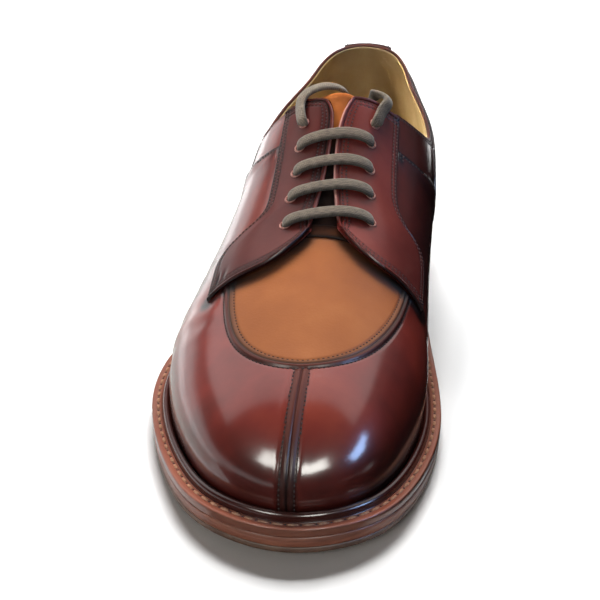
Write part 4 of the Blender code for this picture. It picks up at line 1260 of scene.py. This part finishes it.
bead_size = SHAPE["welt"](ring_line(0.0, 0.0)[:, 1]) / WELT_FULL
columns = []
for row in WELT:
    line = ring_line(row.reach, row.share)
    height = under_height(line[:, 1]) + row.height + row.bead * bead_size
    columns.append(np.concatenate([line, height[:, None]], -1))
points = np.stack(columns, 1)
welt = laid_grid("storm_welt", points)
part_of = np.array([0.0 if k in BEAD_ROWS else 1.0 if k in FLAT_ROWS else 0.5 for k in range(len(WELT))])
# Painted shade: on the flanks the welt's tones are pulled darker.
noted(welt, "flat", part_of * (1 - FLANK_FLAT * smooth_step(np.abs(world(points)[..., 0]), *WELT_FLANK)))
welt = sewn([welt])

# Welt leather: the bead is dyed a dark red brown and polished, the flat is lighter and waxed,
# the cut edge lies between the two, with a fibrous grain over all; on the flanks the tones are
# pulled darker as painted shade.
welt_leather = finish_named("waxed_welt_leather", IOR=1.5, Specular_IOR_Level=0.3, Coat_Weight=0.35,
                            Coat_Roughness=0.2)
place = add_node(welt_leather, "TexCoord", gives="Object")
flat = add_node(welt_leather, "Attribute", attribute_name="flat", gives="Fac")
cloud = add_node(welt_leather, "TexNoise", {"Vector": place, "Scale": 1 / (6 * MM), "Detail": 5.0})
level = add_node(welt_leather, "Math", {0: cloud, 1: 0.22, 2: -0.11}, operation="MULTIPLY_ADD")
mixed = add_node(welt_leather, "Math", {0: flat, 1: level}, operation="ADD")
add_node(welt_leather, "ValToRGB", {"Fac": mixed}, feeds="Base Color", stops=(
    (0.05, "#4a201b"), (0.3, "#5a3027"), (0.55, "#764a3a"), (0.75, "#874834"), (0.95, "#995640")))
add_node(welt_leather, "MapRange", {"Value": flat, "To Min": 0.24, "To Max": 0.46}, feeds="Roughness")
fibre = add_node(welt_leather, "TexNoise", {"Vector": place, "Scale": 1 / (1.4 * MM), "Detail": 4.0})
add_node(welt_leather, "Bump", {"Height": fibre, "Strength": 0.25, "Distance": 0.2 * MM}, feeds="Normal")
fitted(welt, welt_leather, "welt")


# Sole stitch: thick pale linen that sews welt and midsole together, drawn tight into the flat,
# with a dark flat bead between each two stitches that paints the shade of the awl hole; on the
# flanks both are darkened with painted shade.
WELT_ROW = 0.66
WELT_PITCH = 5.05
SOLE_STITCH = (4.3, 1.5, 0.9)
AWL_HOLE = (0.8, 1.2, 0.25)
FLANK_THREAD_SHADE = 0.4
line = ring_line(0.0, WELT_ROW)
row = world(np.concatenate([line, (under_height(line[:, 1]) + WELT_TOP)[:, None]], -1))
WELT_TREE = BVHTree.FromObject(welt, bpy.context.evaluated_depsgraph_get())
pale_thread = thread_finish("pale_linen_thread", "#a87052", "#cb9978")
for name, size, start, thread in (("sole_stitch", SOLE_STITCH, 0.5, pale_thread),
                                  ("awl_hole_shade", AWL_HOLE, 0.0, dark_thread)):
    piece = stitches(name, [row], WELT_TREE, WELT_PITCH, size, start)
    off_middle = np.array([abs(corner.co.x) for corner in piece.data.vertices])
    noted(piece, "flank_shade", FLANK_THREAD_SHADE * smooth_step(off_middle, *WELT_FLANK))
    fitted(piece, thread)


# Midsole: a layer of stiff sole leather under the welt, its cut edge trimmed, inked red
# brown and waxed.
MIDSOLE_LOW = 2.25
MIDSOLE_TOP = 6.1
LAYER_COUNT = 220
midsole = sole_layer("midsole_leather", (
    (0.0, -0.2, 1.0, MIDSOLE_LOW), (0.5, -0.2, 1.0, MIDSOLE_LOW), (1.0, -0.7, 1.0, MIDSOLE_LOW),
    (1.0, -0.35, 1.0, MIDSOLE_LOW + 0.2), (1.0, -0.2, 1.0, MIDSOLE_LOW + 0.6), (1.0, -0.1, 1.0, 4.2),
    (1.0, -0.2, 1.0, MIDSOLE_TOP - 0.5), (1.0, -0.4, 1.0, MIDSOLE_TOP - 0.12), (1.0, -0.8, 1.0, MIDSOLE_TOP),
    (0.5, -0.2, 1.0, MIDSOLE_TOP), (0.0, -0.2, 1.0, MIDSOLE_TOP)), LAYER_COUNT)

# Inked sole leather: red brown, satin, with the hide's layers as fine level streaks, about
# 17 mm long and 1.1 mm high.
sole_leather = finish_named("inked_sole_leather", Roughness=0.45, IOR=1.5, Specular_IOR_Level=0.3,
                            Coat_Weight=0.25, Coat_Roughness=0.24)
place = add_node(sole_leather, "TexCoord", gives="Object")
stretch = add_node(sole_leather, "Mapping", {"Vector": place, "Scale": (60.0, 60.0, 900.0)})
streak = add_node(sole_leather, "TexNoise", {"Vector": stretch, "Scale": 1.0, "Detail": 4.0})
add_node(sole_leather, "ValToRGB", {"Fac": streak}, feeds="Base Color",
         stops=((0.3, "#6f4232"), (0.5, "#824f3d"), (0.72, "#925e4a")))
add_node(sole_leather, "Bump", {"Height": streak, "Strength": 0.3, "Distance": 0.2 * MM}, feeds="Normal")
fitted(midsole, sole_leather, "midsole")


# Outsole: a thin dark rubber sole cemented under the midsole, from the toe back under the
# heel seat.
OUTSOLE_TOP = 2.1
outsole = sole_layer("rubber_outsole", (
    (0.0, -0.4, 1.0, 0.0), (0.5, -0.4, 1.0, 0.0), (0.9, -0.4, 1.0, 0.0), (1.0, -1.0, 1.0, 0.0),
    (1.0, -0.55, 1.0, 0.15), (1.0, -0.4, 1.0, 0.5), (1.0, -0.4, 1.0, OUTSOLE_TOP - 0.3),
    (1.0, -0.6, 1.0, OUTSOLE_TOP), (0.5, -0.4, 1.0, OUTSOLE_TOP), (0.0, -0.4, 1.0, OUTSOLE_TOP)), LAYER_COUNT)

# Moulded rubber: satin brown black with a fine pebble.
dark_rubber = finish_named("moulded_dark_rubber", Roughness=0.5, IOR=1.52)
place = add_node(dark_rubber, "TexCoord", gives="Object")
cloud = add_node(dark_rubber, "TexNoise", {"Vector": place, "Scale": 1 / (8 * MM), "Detail": 4.0})
add_node(dark_rubber, "ValToRGB", {"Fac": cloud}, feeds="Base Color",
         stops=((0.35, "#5f4638"), (0.7, "#735847")))
pebble = add_node(dark_rubber, "TexVoronoi", {"Vector": place, "Scale": 1 / (1.6 * MM)})
add_node(dark_rubber, "Bump", {"Height": pebble, "Strength": 0.3, "Distance": 0.3 * MM}, feeds="Normal")
fitted(outsole, dark_rubber, "outsole")


# Laces: flat woven cotton, straight across the throat in four bars between the eyelets,
# each diving into its holes.
LACE_WIDTH = 5.2
LACE_THICK = 2.2
LACE_ROUND = 2.7
LACE_RIDE = 3.5
LACE_SIDES = 20
HOLE_WIDTH = 3.3
HOLE_THICK = 2.5
HOLE_RUN = (1.5, 6.0)
# Painted shade on the laces: darker underneath, and on the bars' side towards the toe.
SHADE_BELOW = 0.8
SHADE_BELOW_FROM = (-0.2, 0.7)
SHADE_TOWARD_TOE = 0.65
SHADE_TOWARD_TOE_FROM = (0.45, 0.95)
MOST_LACE_SHADE = 0.85


def even_path(points, count, fine=400):
    """Evenly spaced points on a smooth curve through the given ones."""
    points = np.asarray(points, float)
    knots = np.arange(len(points))
    at = np.linspace(0, knots[-1], fine)
    dense = np.stack([curve_through(knots, points[:, k])(at) for k in range(3)], -1)
    run = travelled(dense)
    return read_off(np.linspace(0, run[-1], count), run, dense)


def lace_tube(name, path, up, width, thick, toe_side_shade=0.0):
    """Flat rounded cord along a path, closed at both ends, with its lengths as UVs and painted shade below.
    """
    ahead = np.gradient(path, axis=0)
    ahead /= np.linalg.norm(ahead, axis=1)[:, None]
    wide = np.cross(ahead, up)
    wide /= np.linalg.norm(wide, axis=1)[:, None]
    tall = np.cross(wide, ahead)
    turn = np.linspace(0, 2 * np.pi, LACE_SIDES + 1)
    across, above = (np.sign(wave) * np.abs(wave) ** (2 / LACE_ROUND)
                     for wave in (np.cos(turn), np.sin(turn)))
    rings = (path[:, None] + across[:, None] * wide[:, None] * width[:, None, None] / 2
             + above[:, None] * tall[:, None] * thick[:, None, None] / 2)
    rings = np.concatenate([path[:1, None] + 0 * rings[:1], rings, path[-1:, None] + 0 * rings[-1:]])
    piece = laid_grid(name, rings)
    along = np.concatenate([[0], travelled(path), [travelled(path)[-1]]])
    spot = np.stack([np.repeat(along, LACE_SIDES + 1), np.tile(across * LACE_WIDTH / 2, len(along))], -1)
    corner = np.empty(len(piece.data.loops), int)
    piece.data.loops.foreach_get("vertex_index", corner)
    piece.data.uv_layers[0].data.foreach_set("uv", spot[corner].ravel())
    lace_shade = (SHADE_BELOW * smooth_step(-above, *SHADE_BELOW_FROM)
             + toe_side_shade * smooth_step(-across, *SHADE_TOWARD_TOE_FROM))
    noted(piece, "lace_shade", np.tile(lace_shade, (len(along), 1)).clip(0, MOST_LACE_SHADE))
    return sewn([piece])


# Woven cotton lace: matt taupe yarns in a fine chevron, drawn at 1 mm a rib so that it shows; painted shade
# darkens it underneath and on the toe side.
RIB = 1.0
WARP = 0.8
CHEVRON = 0.8
WARP_SHARE = 0.7
FUZZ = 0.95
lace_cotton = finish_named("woven_cotton_lace", Roughness=0.9, IOR=1.45, Sheen_Weight=0.2,
                           Sheen_Roughness=0.5)
spot = add_node(lace_cotton, "UVMap")
axes = add_node(lace_cotton, "SeparateXYZ", {"Vector": spot}).node.outputs
middle = add_node(lace_cotton, "Math", {0: axes["Y"]}, operation="ABSOLUTE")
slant = add_node(lace_cotton, "Math", {0: middle, 1: CHEVRON, 2: axes["X"]}, operation="MULTIPLY_ADD")
phase = add_node(lace_cotton, "Math", {0: slant, 1: 2 * np.pi / RIB}, operation="MULTIPLY")
rib = add_node(lace_cotton, "Math", {0: phase}, operation="SINE")
warp = add_node(lace_cotton, "Math", {0: axes["Y"], 1: 2 * np.pi / WARP}, operation="MULTIPLY")
warp = add_node(lace_cotton, "Math", {0: warp}, operation="COSINE")
weave = add_node(lace_cotton, "Math", {0: warp, 1: WARP_SHARE, 2: rib}, operation="MULTIPLY_ADD")
level = add_node(lace_cotton, "MapRange", {
    "Value": weave, "From Min": -1 - WARP_SHARE, "From Max": 1 + WARP_SHARE, "To Min": 0.05, "To Max": 0.35})
yarn = add_node(lace_cotton, "Mapping", {"Vector": spot, "Scale": (0.45, 1.9, 1.0)})
fuzz = add_node(lace_cotton, "TexNoise", {"Vector": yarn, "Scale": 1.0, "Detail": 4.0})
blend = add_node(lace_cotton, "Math", {0: fuzz, 1: FUZZ, 2: level}, operation="MULTIPLY_ADD")
yarns = add_node(lace_cotton, "ValToRGB", {"Fac": blend},
                 stops=((0.4, "#3c342b"), (0.68, "#62574a"), (0.95, "#807565")))
shade = add_node(lace_cotton, "Attribute", attribute_name="lace_shade", gives="Fac")
add_node(lace_cotton, "Mix", {"Factor": shade, 6: yarns, 7: hex_linear("#16120e")}, data_type="RGBA",
         feeds="Base Color")
add_node(lace_cotton, "Bump", {"Height": blend, "Strength": 0.5, "Distance": 0.3 * MM}, feeds="Normal")


def hole_fit(run):
    """Width and thickness of the lace at a distance from its hole, where it is gathered."""
    opened = smooth_step(run, *HOLE_RUN)
    return HOLE_WIDTH + (LACE_WIDTH - HOLE_WIDTH) * opened, HOLE_THICK + (LACE_THICK - HOLE_THICK) * opened


# Half a bar, from its hole to the middle: share of the way and height above the last.
ACROSS_SHARES = np.array([0.0, 0.0, 0.01, 0.09, 0.22, 0.42, 0.7, 1.0])
ACROSS_LIFTS = np.array([-1.4, 0.6, 2.3, 3.3, LACE_RIDE + 0.3, LACE_RIDE + 0.3, LACE_RIDE,
                         LACE_RIDE - 0.3])
ACROSS_POINTS = 64
ACROSS_TILT = (0.5, 5.0)
for number in range(1, 5):
    path, up = [], []
    mid_t = 0.5 * (EYELETS[-1][number][0] + EYELETS[1][number][0])
    for side in SIDES:
        t, v = EYELETS[side][number]
        u = share_at(side, t + (mid_t - t) * ACROSS_SHARES)
        near, far = (lifted(side, u, v + (1 - v) * ACROSS_SHARES, ACROSS_LIFTS + more) for more in (0.0, 1.0))
        step = slice(None, -1) if side < 0 else slice(None, None, -1)
        path.append(near[step])
        up.append((far - near)[step])
    raw, raw_up = np.concatenate(path), np.concatenate(up)
    path = even_path(raw, ACROSS_POINTS)
    up = read_off(np.linspace(0, 1, ACROSS_POINTS), travelled(raw) / travelled(raw)[-1], raw_up)
    ends = np.minimum(travelled(path), travelled(path)[-1] - travelled(path))
    tilt = smooth_step(ends, *ACROSS_TILT)[:, None]
    towards = np.where(np.arange(ACROSS_POINTS) < ACROSS_POINTS / 2, -1, 1)
    inward = towards[:, None] * np.array([1.0, 0.0, 0.0])
    up = up * tilt + inward * (1 - tilt)
    bar = lace_tube("lace_across_%d" % number, path, up, *hole_fit(ends), SHADE_TOWARD_TOE)
    fitted(bar, lace_cotton, "lace_bar_%d" % number)


# Lace runs: between the bars the same lace climbs straight up under the facings, mostly two
# eyelets at a time, and only its last run crosses to the other side.
LACE_RUNS = (((-1, 4), (-1, 3)), ((1, 4), (1, 2)), ((1, 3), (1, 1)), ((-1, 2), (-1, 0)), ((-1, 1), (1, 0)))
UNDER_LIFT = 0.3
CROSS_LIFT = -2.1
CROSS_DIP = 0.25      # share of the run in which it dips under the facing
UNDER_WIDTH = 3.6
UNDER_THICK = 0.9
UNDER_UP = np.array((0.0, 0.35, 1.0))
RUN_KNOTS = 13
RUN_POINTS = 40
tubes = []
for (low_side, low), (high_side, high) in LACE_RUNS:
    low_t, low_v = EYELETS[low_side][low]
    high_t, high_v = EYELETS[high_side][high]
    path = []
    for q in np.linspace(0, 1, RUN_KNOTS):
        side, v, lift = low_side, low_v + (high_v - low_v) * q, UNDER_LIFT
        if low_side != high_side:
            near = min(q, 1 - q)
            side, v = (low_side, low_v) if q < 0.5 else (high_side, high_v)
            v = v + (1 - v) * 2 * near
            lift = UNDER_LIFT + (CROSS_LIFT - UNDER_LIFT) * smooth_step(near, 0.0, CROSS_DIP)
        path.append(lifted(side, share_at(side, low_t + (high_t - low_t) * q), v, lift))
    tubes.append(lace_tube("lace_runs_below", even_path(path, RUN_POINTS), UNDER_UP,
                           np.full(RUN_POINTS, UNDER_WIDTH), np.full(RUN_POINTS, UNDER_THICK)))
fitted(sewn(tubes), lace_cotton)


# Lace ends: the lace's two loose ends come up through the top eyelets, bend over the top
# line and hang down inside the shoe.
END_LIFTS = (-1.2, 1.4, LACE_RIDE)
END_POINTS = 80
LACE_ENDS = {
    -1: ((-15.8, 122.5, 98.6), (-15.4, 118.0, 101.6), (-12.8, 114.5, 103.6), (-8.0, 110.0, 104.4),
         (-2.9, 106.0, 103.2), (0.6, 103.0, 100.0), (2.0, 101.5, 94.5)),
    1: ((17.8, 119.8, 98.2), (19.4, 115.8, 99.8), (18.9, 111.8, 101.0), (15.6, 108.0, 101.4),
        (11.8, 104.9, 98.8), (10.0, 103.4, 91.0)),
}
for side in SIDES:
    t, v = EYELETS[side][0]
    rise = [lifted(side, share_at(side, t), v, lift) for lift in END_LIFTS]
    path = even_path([*rise, *LACE_ENDS[side]], END_POINTS)
    inside = np.array([0.0, path[:, 1].min(), path[:, 2].min()])
    piece = lace_tube("lace_end_" + SIDE_WORD[side], path, path - inside, *hole_fit(travelled(path)))
    fitted(piece, lace_cotton, "lace_end_" + CAD_WORD[side])


# Heel: a stack of leather lifts on a rubber top piece, nailed under the heel seat, its
# front face raked a little. The lifts' edges are inked and waxed like the midsole's.
HEEL_BREAST_T = 82.0
HEEL_RAKE = 2.0
HEEL_TOP_REACH = -0.4
HEEL_FOOT_REACH = -1.4
HEEL_CORNER = 3.0
CORNER_COUNT = 6
HEEL_COUNT = 120
SEAT_GAP = 0.15
LIFT_GAP = 0.05
LIFT_BEVEL = 0.28
LIFTS = (0.0, 5.6, 9.5, 13.4, 17.3, HEEL_HEIGHT - SEAT_GAP)
HEEL_MIDDLE = (0.0, 44.0)


def heel_loop(share, inset):
    """Outline of the heel at a share of its height, from breast corner round to breast."""
    reach = HEEL_FOOT_REACH + (HEEL_TOP_REACH - HEEL_FOOT_REACH) * share - inset
    breast = HEEL_BREAST_T - HEEL_RAKE * (1 - share) - inset
    half = half_of(FEATHER + OUTWARD * (SHAPE["welt"](FEATHER[:, 1]) + reach)[:, None])
    line = np.concatenate([half[-1][half[-1][:, 1] < breast - HEEL_CORNER][::-1],
                           half[1][half[1][:, 1] < breast - HEEL_CORNER]])
    turn = np.linspace(0, np.pi / 2, CORNER_COUNT)[1:]
    corner_t = breast - HEEL_CORNER * (1 - np.sin(turn))
    near = np.stack([line[-1, 0] - HEEL_CORNER + HEEL_CORNER * np.cos(turn), corner_t], -1)
    far = np.stack([line[0, 0] + HEEL_CORNER - HEEL_CORNER * np.cos(turn), corner_t], -1)[::-1]
    line = np.concatenate([line, near, far, line[:1]])
    run = travelled(line)
    return read_off(np.linspace(0, run[-1], HEEL_COUNT), run, line)


def heel_lift(name, low, high):
    """One layer of the heel, its edges eased; the highest follows the seat."""
    columns = []
    for z, inset, fill in ((low, LIFT_BEVEL, 0.0), (low, LIFT_BEVEL, 0.6), (low, LIFT_BEVEL, 1.0),
                           (low + LIFT_BEVEL, 0.0, 1.0), (0.5 * (low + high), 0.0, 1.0),
                           (high - LIFT_BEVEL, 0.0, 1.0), (high, LIFT_BEVEL, 1.0),
                           (high, LIFT_BEVEL, 0.6), (high, LIFT_BEVEL, 0.0)):
        plan = HEEL_MIDDLE + (heel_loop(z / HEEL_HEIGHT, inset) - HEEL_MIDDLE) * fill
        below = high - z if high == LIFTS[-1] else 0.0
        seat = np.minimum(z, under_height(plan[:, 1]) - SEAT_GAP - below)
        columns.append(np.concatenate([plan, np.maximum(seat, 0.0)[:, None]], -1))
    return sewn([laid_grid(name, np.stack(columns, 1))], (*HEEL_MIDDLE, 0.5 * (low + high)))


fitted(heel_lift("heel_top_piece", LIFTS[0], LIFTS[1] - LIFT_GAP), dark_rubber)
for number in range(1, len(LIFTS) - 1):
    lift = heel_lift("heel_lift_%d" % number, LIFTS[number] + LIFT_GAP, LIFTS[number + 1])
    fitted(lift, sole_leather, "heel")


# Studio: the photograph's camera, a white floor, soft lights and felt flags. The lights
# for the leather's mirror images are apart from those that light it. Lengths are in metres.
FILM = 36.0
FOCAL_PIXELS = 1440
IMAGE_PIXELS = 600
FLOOR_SIZE = 1.8
camera = bpy.data.objects.new("camera", bpy.data.cameras.new("camera"))
bpy.context.scene.collection.objects.link(camera)
camera.location = (0.07142, -0.53448, 0.27759)
aim = Vector((-0.0063, 0.0, 0.02462))
camera.rotation_euler = (aim - camera.location).to_track_quat("-Z", "Y").to_euler()
camera.data.sensor_width = FILM
camera.data.lens = FILM * FOCAL_PIXELS / IMAGE_PIXELS
bpy.context.scene.camera = camera

bpy.ops.mesh.primitive_plane_add(size=FLOOR_SIZE)
floor = bpy.context.object
floor.name = "studio_floor"
paper = finish_named("white_paper", Roughness=0.9, Base_Color=hex_linear("#f2f2f2"), Specular_IOR_Level=0.1)
floor.data.materials.append(paper)

# Flags that the camera does not see: one stands along the inner side of the shoe and one lies
# before it, to keep that side dark, one lies in front of the toe, and a grey one beside the
# outer side keeps the shoe's edge apart from the paper.
black_felt, grey_felt = (
    finish_named(name, Roughness=1.0, Base_Color=hex_linear(tone), Specular_IOR_Level=0.0)
    for name, tone in (("black_felt", "#0c0a0a"), ("grey_felt", "#c6c6c2")))
Flag = namedtuple("Flag", "name low high felt lit")
for flag in (Flag("side_flag", (0.17, -0.10, 0.0), (0.17, 0.35, 0.108), black_felt, True),
             Flag("side_floor_flag", (0.058, -0.16, 0.001), (0.17, 0.35, 0.001), black_felt, True),
             Flag("front_flag", (-0.5, -0.9, 0.001), (0.5, -0.14, 0.001), black_felt, False),
             Flag("outer_flag", (-0.13, -0.12, 0.001), (-0.058, 0.5, 0.001), grey_felt, False)):
    bpy.ops.mesh.primitive_plane_add(size=1.0)
    panel = bpy.context.object
    panel.name = flag.name
    low, high = np.array(flag.low), np.array(flag.high)
    along = np.array((0.0, high[1] - low[1], 0.0))
    panel.data.vertices.foreach_set("co", np.array([low, high - along, low + along, high]).ravel())
    panel.visible_camera = False
    panel.visible_diffuse = flag.lit
    panel.visible_shadow = flag.name == "side_flag"
    panel.data.materials.append(flag.felt)

# Softboxes: a key and fills that only light, and boxes that only mirror: a large bank above
# and behind, a card on the floor at the left, the toe's two bright spots and its cool window.
Softbox = namedtuple("Softbox", "name place aim size_x size_y radiance colour lights spread",
                     defaults=(180.0,))
for box in (
    Softbox("bank", (-0.5, 1.25, 1.6), (-0.5, 0.5, 0.0), 4.4, 1.7, 1.3, "#ffffff", False),
    Softbox("left_card", (-0.40, 0.3, 0.002), (-0.40, 0.3, 1.0), 0.48, 1.0, 0.6, "#ffffff", False),
    Softbox("key", (-0.12, 1.15, 1.5), (0.0, 0.0, 0.0), 0.9, 0.5, 37.0, "#ffffff", True),
    Softbox("mouth_fill", (-0.75, -0.25, 1.45), (0.0, 0.03, 0.08), 0.06, 0.06, 2.2, "#fff8ee", True, 8.0),
    Softbox("collar_fill", (-1.1, 0.15, 1.2), (0.035, 0.09, 0.07), 0.06, 0.06, 2.5, "#fff8ee", True, 4.0),
    Softbox("front_fill", (-0.3, -1.6, 0.9), (0.0, -0.1, 0.03), 1.2, 0.7, 2.2, "#fff6ec", True),
    Softbox("spot_left", (-0.62, -0.72, 1.08), (0.0, -0.13, 0.03), 0.46, 0.38, 18.0, "#fcfff8", False),
    Softbox("spot_right", (0.60, -0.90, 1.10), (0.0, -0.13, 0.03), 0.60, 0.38, 21.0, "#fcfff8", False),
    Softbox("window", (1.36, -0.06, 0.82), (0.03, -0.12, 0.03), 0.66, 0.32, 22.0, "#9fc6ff", False),
):
    light = bpy.data.objects.new(box.name, bpy.data.lights.new(box.name, "AREA"))
    light.data.shape, light.data.size, light.data.size_y = "RECTANGLE", box.size_x, box.size_y
    light.data.energy = 4 * box.radiance * box.size_x * box.size_y    # gives that radiance
    light.data.color = hex_linear(box.colour)[:3]
    light.data.spread = np.radians(box.spread)
    light.location = box.place
    light.rotation_euler = (Vector(box.aim) - light.location).to_track_quat("-Z", "Y").to_euler()
    light.visible_diffuse, light.visible_glossy = box.lights, not box.lights
    bpy.context.scene.collection.objects.link(light)

# Surround: a dim room, a little lighter behind the shoe, with a bright low band on the left,
# and plain white where the camera sees past the floor.
SEEN_WHITE = 0.95
surround = bpy.data.worlds.new("studio")
surround.use_nodes = True
way = add_node(surround, "TexCoord", gives="Generated")
axes = add_node(surround, "SeparateXYZ", {"Vector": way}).node.outputs
depth, low, left = (
    add_node(surround, "MapRange", {"Value": axes[axis], "From Min": near, "From Max": far, "To Min": start,
                                    "To Max": end}, interpolation_type="SMOOTHSTEP")
    for axis, near, far, start, end in (("Y", 0.18, 0.48, 0.01, 0.08), ("Z", 0.10, 0.25, 1.0, 0.0),
                                        ("X", -0.35, -0.62, 0.0, 1.3)))
total = add_node(surround, "Math", {0: low, 1: left, 2: depth}, operation="MULTIPLY_ADD")
seen = add_node(surround, "LightPath", gives="Is Camera Ray")
level = add_node(surround, "Mix", {0: seen, 2: total, 3: SEEN_WHITE})
sky = surround.node_tree.nodes["Background"]
sky.inputs["Color"].default_value = hex_linear("#ffffff")
surround.node_tree.links.new(level, sky.inputs["Strength"])
bpy.context.scene.world = surround
bpy.context.scene.view_settings.view_transform = "Standard"
